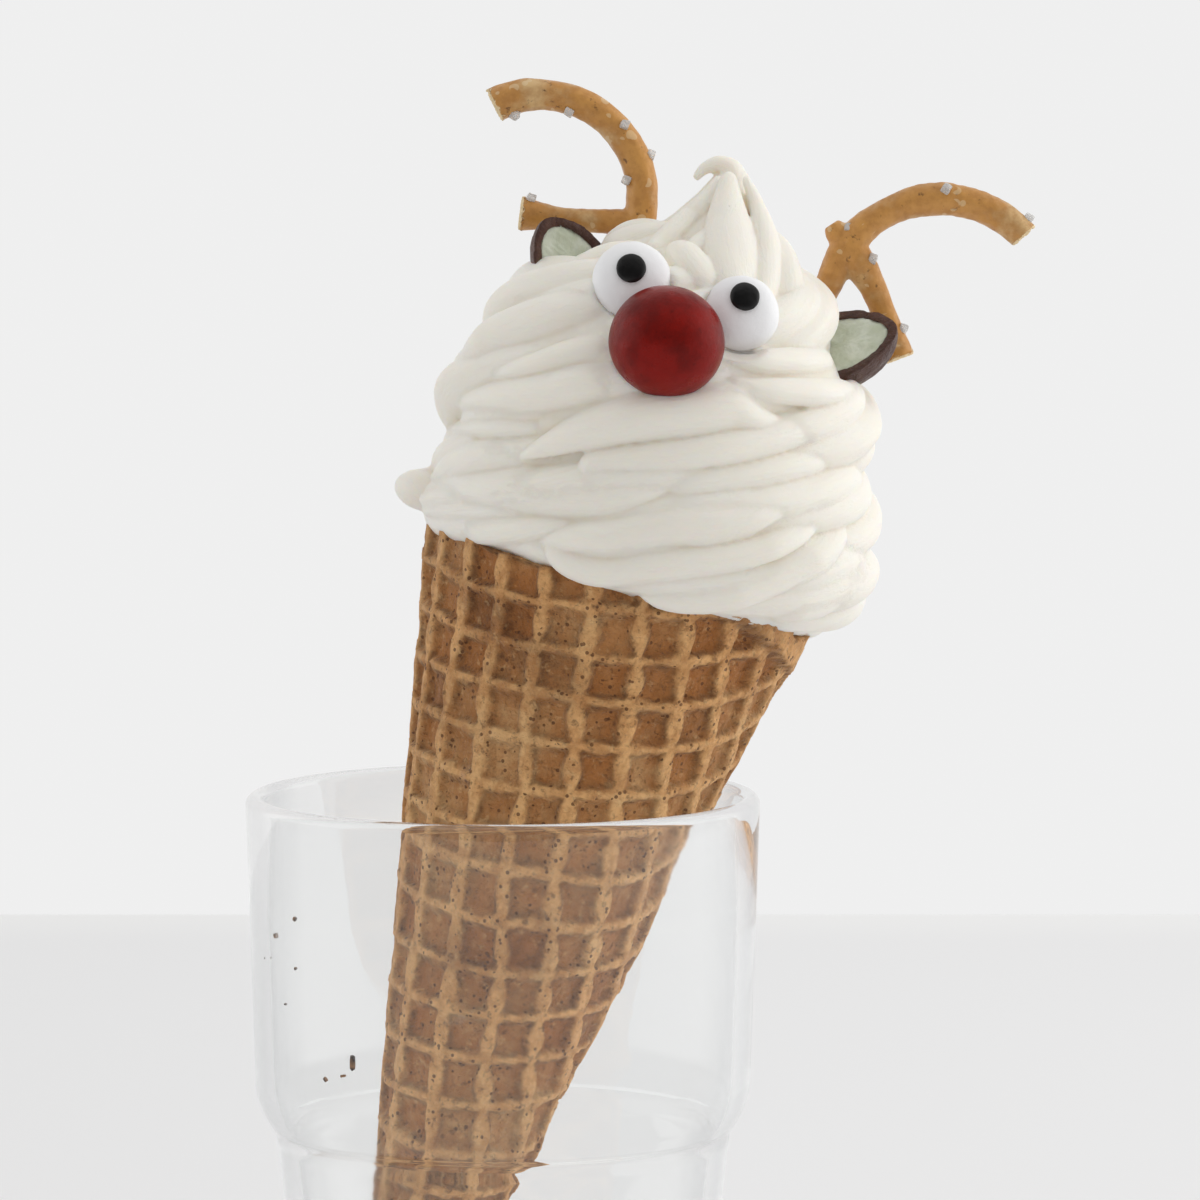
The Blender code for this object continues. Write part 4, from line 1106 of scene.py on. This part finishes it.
def soft_serve():
    parts = [rope_rings(900, 150), peak_rings(110, 200), curl_rings(60, 40), core_rings(40, 120),
             knob_rings(), skirt_rings()]
    parts += [fold_rings(name, number) for number, name in enumerate(FOLDS)]
    parts += [seat_rings(place, toward, radius - SEAT_LESS, back)
              for place, toward, radius, depth, slope, back in SWEETS]
    points, faces = joined([shut_tube(rings) for rings, flow in parts])
    made = mesh_piece("soft_serve_swirl", placed(points, MOUTH), faces, CREAM_FINISH)
    remeshed(made, CREAM_VOXEL, CREAM_TRIANGLES)
    keep_largest(made)
    relaxed(made.data, 2, 0.6)
    points = placed(mesh_points(made.data), np.linalg.inv(MOUTH))
    for place, toward, radius, depth, slope, back in SWEETS:
        points = press_in(points, place, toward, radius, depth, slope)
    move_points(made.data, placed(points, MOUTH))
    relaxed(made.data, 1, 0.5)
    # How deep each point lies in a crease; the cream's material paints yellow shade there
    mark_points(made.data, "fold", hollowness(made.data, 30))
    spots = placed(np.concatenate([rings.reshape(-1, 3) for rings, flow in parts]), MOUTH)
    flows = np.concatenate([flow.reshape(-1, 3) for rings, flow in parts])
    tree = KDTree(len(spots))
    for index, spot in enumerate(spots):
        tree.insert(spot, index)
    tree.balance()
    nearest = np.array([tree.find(point)[1] for point in mesh_points(made.data)])
    stream = made.data.attributes.new("flow", "FLOAT_VECTOR", "POINT")
    stream.data.foreach_set("vector", flows[nearest].ravel())
    return made



cream = soft_serve()
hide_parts("soft_serve")
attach(cream, "root")


# Nose
# A round chewy sweet with a dark red sugar skin, matt and slightly mottled, pressed into the cream.
NOSE_RADIUS = 9.3
CANDY_RED = (0.23, 0.007, 0.004)
CANDY_DEEP_RED = (0.09, 0.003, 0.002)


def ball(name, place, toward, wide, deep, finish, uneven, rows=64, around=128, seed=1):
    """A ball or lens in the head's frame whose short axis points toward a direction."""
    profile = [(0, -1.0)] + [(math.sin(math.pi * row / rows), -math.cos(math.pi * row / rows))
                             for row in range(1, rows)] + [(0, 1.0)]
    points, faces = lathe(profile, around)
    swell = 1 + uneven * hills(points * 10, 9, seed, 3)
    turn = np.array(Vector(toward).to_track_quat("Z", "Y").to_matrix())
    points = points * swell[:, None] * np.array([wide, wide, deep])
    return mesh_piece(name, placed(points @ turn.T + np.array(place), MOUTH), faces, finish)


def sugar_skin(name, colour, deep, gloss, mottle, shine):
    """A hard sugar coating: clouded colour, faint dimples, and a soft shine."""
    finish = Finish(name, gloss)
    cloud = finish.patches(130.0, 0.35, 0.7)
    paint = finish.mix(finish.sum("MULTIPLY", cloud, mottle), colour, deep)
    speck = finish.patches(900.0, 0.58, 0.72)
    paint = finish.mix(finish.sum("MULTIPLY", speck, mottle * 0.6), paint, deep)
    rough = finish.sum("MULTIPLY_ADD", finish.patches(260.0, 0.3, 0.7), 0.12, gloss)
    normal = finish.bump(finish.patches(240.0, 0.2, 0.8), 0.18, 0.0005)
    normal = finish.bump(finish.patches(1600.0, 0.2, 0.8), 0.08, 0.0002, normal)
    finish.set(Specular_IOR_Level=shine)
    return finish.wear(paint, rough, normal)


nose = ball("candy_nose_ball", NOSE_PLACE, (0, 0, 1), NOSE_RADIUS, NOSE_RADIUS * 0.97,
            sugar_skin("red candy shell", CANDY_RED, CANDY_DEEP_RED, gloss=0.26, mottle=0.8, shine=0.13),
            0.006, seed=3)
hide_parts("candy_nose")
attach(nose, "root")


# Eyes
# Two flat-backed sugar sweets, white domes with a small black sugar drop stuck on each, pushed
# edge-deep into the cream.
EYES = {
    "left": {"pupil": Vector((-0.7, 1.5, 0)), "radius": 6.4},
    "right": {"pupil": Vector((-0.2, 2.4, 0)), "radius": 6.2},
}
EYE_DEPTH = 3.4
PUPIL_RADIUS, PUPIL_DEPTH, PUPIL_PROUD = 2.4, 0.62, 0.42
CANDY_WHITE = (0.93, 0.93, 0.94)
CANDY_SHADE = (0.87, 0.875, 0.90)
CANDY_BLACK = (0.005, 0.005, 0.005)
CANDY_GREY = (0.016, 0.015, 0.015)

white_skin = sugar_skin("white candy shell", CANDY_WHITE, CANDY_SHADE, gloss=0.3, mottle=0.35, shine=0.4)
black_skin = sugar_skin("black candy shell", CANDY_BLACK, CANDY_GREY, gloss=0.3, mottle=0.9, shine=0.4)
EYE_TURN = Vector(EYE_TOWARD).to_track_quat("Z", "Y").to_matrix()
for side, eye in EYES.items():
    radius, off, middle = eye["radius"], eye["pupil"], Vector(EYE_PLACES[side])
    white = ball("eye_white_" + side, middle, EYE_TOWARD, radius, EYE_DEPTH, white_skin, 0.008, 40, 96,
                 seed=5 + int(radius * 10))
    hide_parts("eye_" + side)
    dome = EYE_DEPTH * math.sqrt(1 - (off.length / radius) ** 2)
    lean = Vector((off.x / radius ** 2, off.y / radius ** 2, dome / EYE_DEPTH ** 2)).normalized()
    place = Vector((off.x, off.y, dome)) + lean * PUPIL_PROUD
    pupil = ball("pupil_drop_" + side, middle + EYE_TURN @ place, EYE_TURN @ lean, PUPIL_RADIUS, PUPIL_DEPTH,
                 black_skin, 0.012, 24, 64, seed=9 + int(radius * 10))
    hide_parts("pupil_" + side)
    for piece in (white, pupil):
        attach(piece, "root")


# Antlers
# Two broken pieces of a hard baked pretzel, golden brown with a thin shiny skin, small blisters
# and pale broken ends, and coarse salt stuck on; their feet are pushed into the cream.
ANTLER_BACK = 9.5
STRANDS = {
    "left": [
        {"arc": (-29.4, 56.9, 17.1, 134, -28), "radii": (3.05, 2.65, 2.7, 2.8, 2.9), "broken": (0,)},
        {"line": ((-32.3, 53.4), (-22.8, 54.9), (-13.2, 57.2)), "radii": (3.1, 2.3, 2.0, 2.1, 2.4),
         "broken": (0,)},
    ],
    "right": [
        {"arc": (40.1, 56.6, 19.1, 57, 158), "radii": (2.65, 2.7, 2.85, 2.6, 2.9), "broken": (0,)},
        {"line": ((21.8, 63.7), (28.7, 57.1), (36.0, 47.2)), "radii": (3.0, 2.9, 2.3, 2.3, 2.7),
         "broken": (1,)},
        {"line": ((21.9, 63.3), (20.5, 54.2), (17.4, 44.0)), "radii": (2.9, 2.6, 2.2, 1.9, 1.8),
         "broken": ()},
        {"line": ((22.7, 61.9), (20.6, 64.3), (18.6, 66.0)), "radii": (2.6, 2.4, 2.3, 2.2, 1.6),
         "broken": ()},
    ],
}
# Each crystal is on a strand, so far along it, at an angle around it in degrees
SALT = {
    "left": [(0, 0.07, 200), (0, 0.29, 215), (0, 0.48, -60), (0, 0.60, -10), (0, 0.66, 210), (1, 0.1, -20)],
    "right": [(0, 0.46, 235), (0, 0.06, 190), (3, 0.6, 215), (1, 0.25, -40), (1, 0.8, -20)],
}
PRETZEL_VOXEL = 0.3
PRETZEL_GOLD = (0.60, 0.295, 0.072)
PRETZEL_BROWN = (0.33, 0.125, 0.022)
PRETZEL_PALE = (0.72, 0.50, 0.24)
PRETZEL_CRUMB = (0.80, 0.63, 0.38)
PRETZEL_DARK = (0.10, 0.035, 0.008)
PRETZEL_GRAIN = {"Grain_Scale": 900.0, "Pore_Scale": 330.0, "Pore_Size": 0.28}
STRAND_LESS = 0.12
BROKEN_REACH = 4.4
SALT_SIZE = 1.45
SALT_CLEAR, SALT_CLOUDY = (0.97, 0.96, 0.94), (0.88, 0.87, 0.85)


def strand_middle(strand, share):
    """A place along a strand, right of and above the mouth's middle."""
    if "arc" in strand:
        across, up, radius, start, end = strand["arc"]
        angle = math.radians(start + (end - start) * share)
        return Vector((across + radius * math.cos(angle), ANTLER_BACK, up + radius * math.sin(angle)))
    places = strand["line"]
    spots = [index / (len(places) - 1) for index in range(len(places))]
    return Vector((along(list(zip(spots, [place[0] for place in places])), share), ANTLER_BACK,
                   along(list(zip(spots, [place[1] for place in places])), share)))


def strand_radius(strand, share):
    radii = strand["radii"]
    return along([(index / (len(radii) - 1), radius) for index, radius in enumerate(radii)], share)


def strand_rings(strand, steps, around, seed):
    rings = []
    back = np.array([0, 1.0, 0])
    angle = np.linspace(0, 2 * math.pi, around, endpoint=False)
    for step in range(steps + 1):
        share = step / steps
        ahead = strand_middle(strand, min(share + 0.01, 1)) - strand_middle(strand, max(share - 0.01, 0))
        side = np.array(ahead.normalized().cross(Vector((0, 1, 0))))
        radius = strand_radius(strand, share) - STRAND_LESS
        middle = np.array(strand_middle(strand, share))
        rings.append(middle + radius * (np.cos(angle)[:, None] * side + np.sin(angle)[:, None] * back))
    rings = np.array(rings)
    flat = rings.reshape(-1, 3)
    out = unit(flat - np.repeat(rings.mean(axis=1), around, axis=0))
    flat += out * (0.12 * hills(flat, 8, seed, 3) + 0.05 * hills(flat, 1.6, seed + 1, 2))[:, None]
    return flat.reshape(rings.shape)


def pretzel_skin():
    """Baked dough dipped in lye: a mottled brown skin, glossy where whole, matt where broken."""
    finish = Finish("pretzel skin", 0.4)
    broken = finish.attribute("broken")
    colour = finish.mix(finish.patches(110.0, 0.35, 0.7), PRETZEL_GOLD, PRETZEL_BROWN)
    colour = finish.mix(0.45, colour, PRETZEL_GOLD)
    colour = finish.blotches(colour, PRETZEL_PALE, 110.0, 0.5, 0.72, 0.8)
    fine = finish.patches(700.0, 0.4, 0.7)
    colour = finish.mix(finish.sum("MULTIPLY", fine, 0.35), colour, PRETZEL_BROWN)
    colour = finish.blotches(colour, PRETZEL_DARK, 620.0, 0.62, 0.72, 0.8)
    blister = finish.group(CRUMB, "Pores", **PRETZEL_GRAIN)
    colour = finish.mix(finish.sum("MULTIPLY", blister, 0.4), colour, PRETZEL_CRUMB)
    colour = finish.mix(broken, colour, PRETZEL_CRUMB)
    rough = finish.sum("MULTIPLY_ADD", broken, 0.4, 0.36)
    rough = finish.sum("MULTIPLY_ADD", fine, 0.18, rough)
    grain = finish.group(CRUMB, "Height", **PRETZEL_GRAIN)
    return finish.wear(colour, rough, finish.bump(grain, 0.35, 0.0004))


def salt_glass():
    """Coarse salt: cloudy see-through crystals."""
    finish = Finish("coarse salt", 0.2)
    colour = finish.mix(finish.patches(500.0, 0.35, 0.7), SALT_CLEAR, SALT_CLOUDY)
    finish.set(Transmission_Weight=0.45, IOR=1.3)
    rough = finish.sum("MULTIPLY_ADD", finish.patches(900.0, 0.2, 0.8), 0.25, 0.12)
    return finish.wear(colour, rough, finish.bump(finish.patches(1200.0, 0.2, 0.8), 0.4, 0.0003))


PRETZEL_FINISH = pretzel_skin()
SALT_FINISH = salt_glass()


def crystal_points(size, seed):
    """A rounded, worn cube as points and faces about its own middle."""
    shape = bmesh.new()
    bmesh.ops.create_cube(shape, size=size)
    bmesh.ops.subdivide_edges(shape, edges=shape.edges, cuts=7, use_grid_fill=True)
    points = np.array([vertex.co for vertex in shape.verts])
    half = size / 2
    length = np.linalg.norm(points, axis=1, keepdims=True)
    points = points * (0.62 + 0.38 * half * 1.18 / length)
    points += unit(points) * (0.10 * hills(points, 1.4, seed, 3))[:, None]
    faces = [tuple(vertex.index for vertex in face.verts) for face in shape.faces]
    shape.free()
    return points, faces


def antler(side):
    points, faces = joined([shut_tube(strand_rings(strand, 160 if "arc" in strand else 70, 56,
                                                   41 + index + len(side)))
                            for index, strand in enumerate(STRANDS[side])])
    made = mesh_piece("pretzel_antler_" + side, placed(points, MOUTH), faces, PRETZEL_FINISH)
    remeshed(made, PRETZEL_VOXEL)
    relaxed(made.data, 2, 0.5)
    spots = mesh_points(made.data)
    broken = np.zeros(len(spots))
    for strand in STRANDS[side]:
        for share in strand["broken"]:
            end = placed([strand_middle(strand, share)], MOUTH)[0]
            way = unit(end - placed([strand_middle(strand, 0.02 + 0.96 * share)], MOUTH)[0])
            ahead = (spots - end) @ way
            near = np.linalg.norm(spots - end, axis=1) < BROKEN_REACH
            face = near * soft_step(-0.9, -0.3, ahead)
            spots -= (face * (0.35 + 0.75 * np.abs(hills(spots, 2.4, 7, 3))))[:, None] * way
            broken = np.maximum(broken, near * soft_step(-0.6, -0.25, ahead + 0.2 * hills(spots, 2, 7, 2)))
    move_points(made.data, spots)
    mark_points(made.data, "broken", broken)
    return made


def salt(side):
    crystals = []
    for index, (number, share, degrees) in enumerate(SALT[side]):
        strand = STRANDS[side][number]
        ahead = strand_middle(strand, share + 0.01) - strand_middle(strand, share - 0.01)
        radius = strand_radius(strand, share)
        angle = math.radians(degrees)
        outward = math.cos(angle) * ahead.normalized().cross(Vector((0, 1, 0)))
        outward += Vector((0, math.sin(angle), 0))
        turn = 0.7 + index
        spin = np.array(Matrix.Rotation(turn, 3, "X") @ Matrix.Rotation(turn * 1.7, 3, "Z"))
        shape, sides = crystal_points(SALT_SIZE, 60 + index)
        crystals.append((shape @ spin.T + np.array(strand_middle(strand, share) + radius * outward), sides))
    points, faces = joined(crystals)
    return mesh_piece("salt_" + side, placed(points, MOUTH), faces, SALT_FINISH)


for side in ("left", "right"):
    horn, grains = antler(side), salt(side)
    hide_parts("antler_" + side)
    for piece in (horn, grains):
        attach(piece, "root")


# Ears
# A small chocolate egg cut lengthways in two: a thin dark shell around a pale mint filling, cut
# face forward and tip outward, one half pushed into the cream on each side.
SHELL = 1.6
# Each egg's middle, the way its cut face looks, its tip's turn from upright, half length and half width
EARS = {
    "left": {"place": Vector((-21.6, -4.0, 47.6)), "toward": Vector((0.40, -0.88, 0.20)), "tip": 47,
             "length": 8.3, "width": 6.6},
    "right": {"place": Vector((25.0, -4.0, 47.2)), "toward": Vector((-0.47, -0.68, 0.56)), "tip": -50,
              "length": 9.4, "width": 7.5},
}
EGG_TAPER = 0.22
CHOCOLATE = (0.070, 0.024, 0.014)
CHOCOLATE_BLOOM = (0.20, 0.10, 0.07)
MINT = (0.56, 0.60, 0.47)
MINT_PALE = (0.72, 0.75, 0.64)


def chocolate():
    finish = Finish("chocolate shell", 0.38)
    colour = finish.mix(finish.patches(160.0, 0.4, 0.75), CHOCOLATE, CHOCOLATE_BLOOM)
    colour = finish.mix(0.5, colour, CHOCOLATE)
    rough = finish.sum("MULTIPLY_ADD", finish.patches(420.0, 0.3, 0.7), 0.2, 0.3)
    normal = finish.bump(finish.patches(520.0, 0.2, 0.8), 0.8, 0.0009)
    normal = finish.bump(finish.patches(1500.0, 0.2, 0.8), 0.12, 0.0002, normal)
    return finish.wear(colour, rough, normal)


def mint_filling():
    finish = Finish("mint filling", 0.75)
    colour = finish.mix(finish.patches(240.0, 0.35, 0.7), MINT, MINT_PALE)
    grain = finish.group(CRUMB, "Height", Grain_Scale=1500.0, Pore_Scale=700.0, Pore_Size=0.2)
    finish.set(Subsurface_Weight=0.2, Subsurface_Radius=(1.0, 1.0, 0.7), Subsurface_Scale=0.001)
    return finish.wear(colour, None, finish.bump(grain, 0.6, 0.0005))


CHOCOLATE_FINISH = chocolate()
MINT_FINISH = mint_filling()


def ear_matrix(ear):
    """From the egg's own frame, tip along Y and cut face along Z, to the head's frame."""
    tilt = Matrix.Rotation(math.radians(ear["tip"]), 3, "Z")
    return np.array(ear["toward"].to_track_quat("Z", "Y").to_matrix() @ tilt), np.array(ear["place"])


def half_egg(name, ear, inset, thick, forward, finish, seed):
    """A hollow half egg, or a solid one with a broken face when thick is 0."""
    rows = 30
    length, width = ear["length"] - inset, ear["width"] - inset
    profile = [(0, -1.0)]
    for row in range(1, rows + 1):
        angle = math.pi / 2 * row / rows
        profile.append((math.sin(angle), -math.cos(angle)))
    if thick:
        for row in range(rows, 0, -1):
            angle = math.pi / 2 * row / rows
            profile.append((0.5 * math.sin(angle), -0.5 * math.cos(angle)))
        profile.append((0, -0.5))
    else:
        profile += [(1 - row / 16, 0) for row in range(1, 16)]
        profile.append((0, 0))
    points, faces = lathe(profile, 120)
    inner = np.zeros(len(points), dtype=bool)
    if thick:
        inner = np.linalg.norm(points, axis=1) < 0.75
        points[inner] *= 2
    reach = np.where(inner, thick, 0)
    points = points * np.column_stack([width - reach, length - reach, width - reach])
    points[:, 0] *= 1 - EGG_TAPER * points[:, 1] / length
    out = unit(points + 1e-9)
    points += out * (0.10 * hills(points, 6, seed, 3) + 0.04 * hills(points, 1.5, seed, 2))[:, None]
    face = soft_step(-0.7, -0.05, points[:, 2])
    flat = points * [1, 1, 0]
    rough = 0.20 * hills(flat, 3.2, seed + 1, 3) + 0.10 * hills(flat, 0.9, seed + 2, 2)
    points[:, 2] += face * (rough + forward)
    turn, place = ear_matrix(ear)
    return mesh_piece(name, placed(points @ turn.T + place, MOUTH), faces, finish)


for number, (side, ear) in enumerate(EARS.items()):
    shell = half_egg("chocolate_ear_" + side, ear, 0.0, SHELL, 0.0, CHOCOLATE_FINISH, 71 + number)
    filling = half_egg("mint_ear_" + side, ear, SHELL - 0.05, 0, -0.35, MINT_FINISH, 81 + number)
    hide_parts("ear_shell_" + side)
    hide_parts("ear_filling_" + side)
    for piece in (shell, filling):
        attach(piece, "root")


# Crumbs
# A few crumbs of wafer and chocolate that fell down and stick to the inside of the glass's front.
# Each one's place right of the middle and above the table, its length and its width
CRUMBS = [(-31.9, 108.4, 0.7, 0.6), (-34.9, 104.9, 0.8, 0.8), (-36.4, 100.6, 0.4, 0.4),
          (-31.8, 100.3, 0.5, 0.4), (-22.9, 86.4, 2.3, 0.9), (-27.2, 83.0, 0.8, 0.6),
          (-24.4, 84.0, 1.0, 0.4), (-33.4, 94.0, 0.3, 0.3)]
CRUMB_THICK, CRUMB_OFF_WALL = 0.3, 0.12
CRUMB_DARK, CRUMB_TAN = (0.035, 0.018, 0.012), (0.30, 0.15, 0.06)


def crumb_finish():
    finish = Finish("dark crumb", 0.7)
    colour = finish.mix(finish.patches(500.0, 0.4, 0.6), CRUMB_DARK, CRUMB_TAN)
    return finish.wear(colour, None, finish.bump(finish.patches(1500.0, 0.2, 0.8), 0.5, 0.0004))


def glass_crumbs():
    crumbs = []
    for index, (across, height, length, width) in enumerate(CRUMBS):
        inside = glass_outside(height) - GLASS_WALL - CRUMB_OFF_WALL
        outward = Vector((across, -math.sqrt(inside ** 2 - across ** 2), 0)).normalized()
        shape, sides = crystal_points(1.0, 90 + index)
        spin = Matrix.Rotation(-0.5 + 0.9 * index, 3, "Z")
        turn = np.array(outward.to_track_quat("Z", "Y").to_matrix() @ spin)
        shape = shape * np.array([width, length, CRUMB_THICK])
        crumbs.append((shape @ turn.T + np.array(outward * inside) + np.array([0, 0, height]), sides))
    return mesh_piece("glass_crumbs", *joined(crumbs), crumb_finish())


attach(glass_crumbs(), "root")
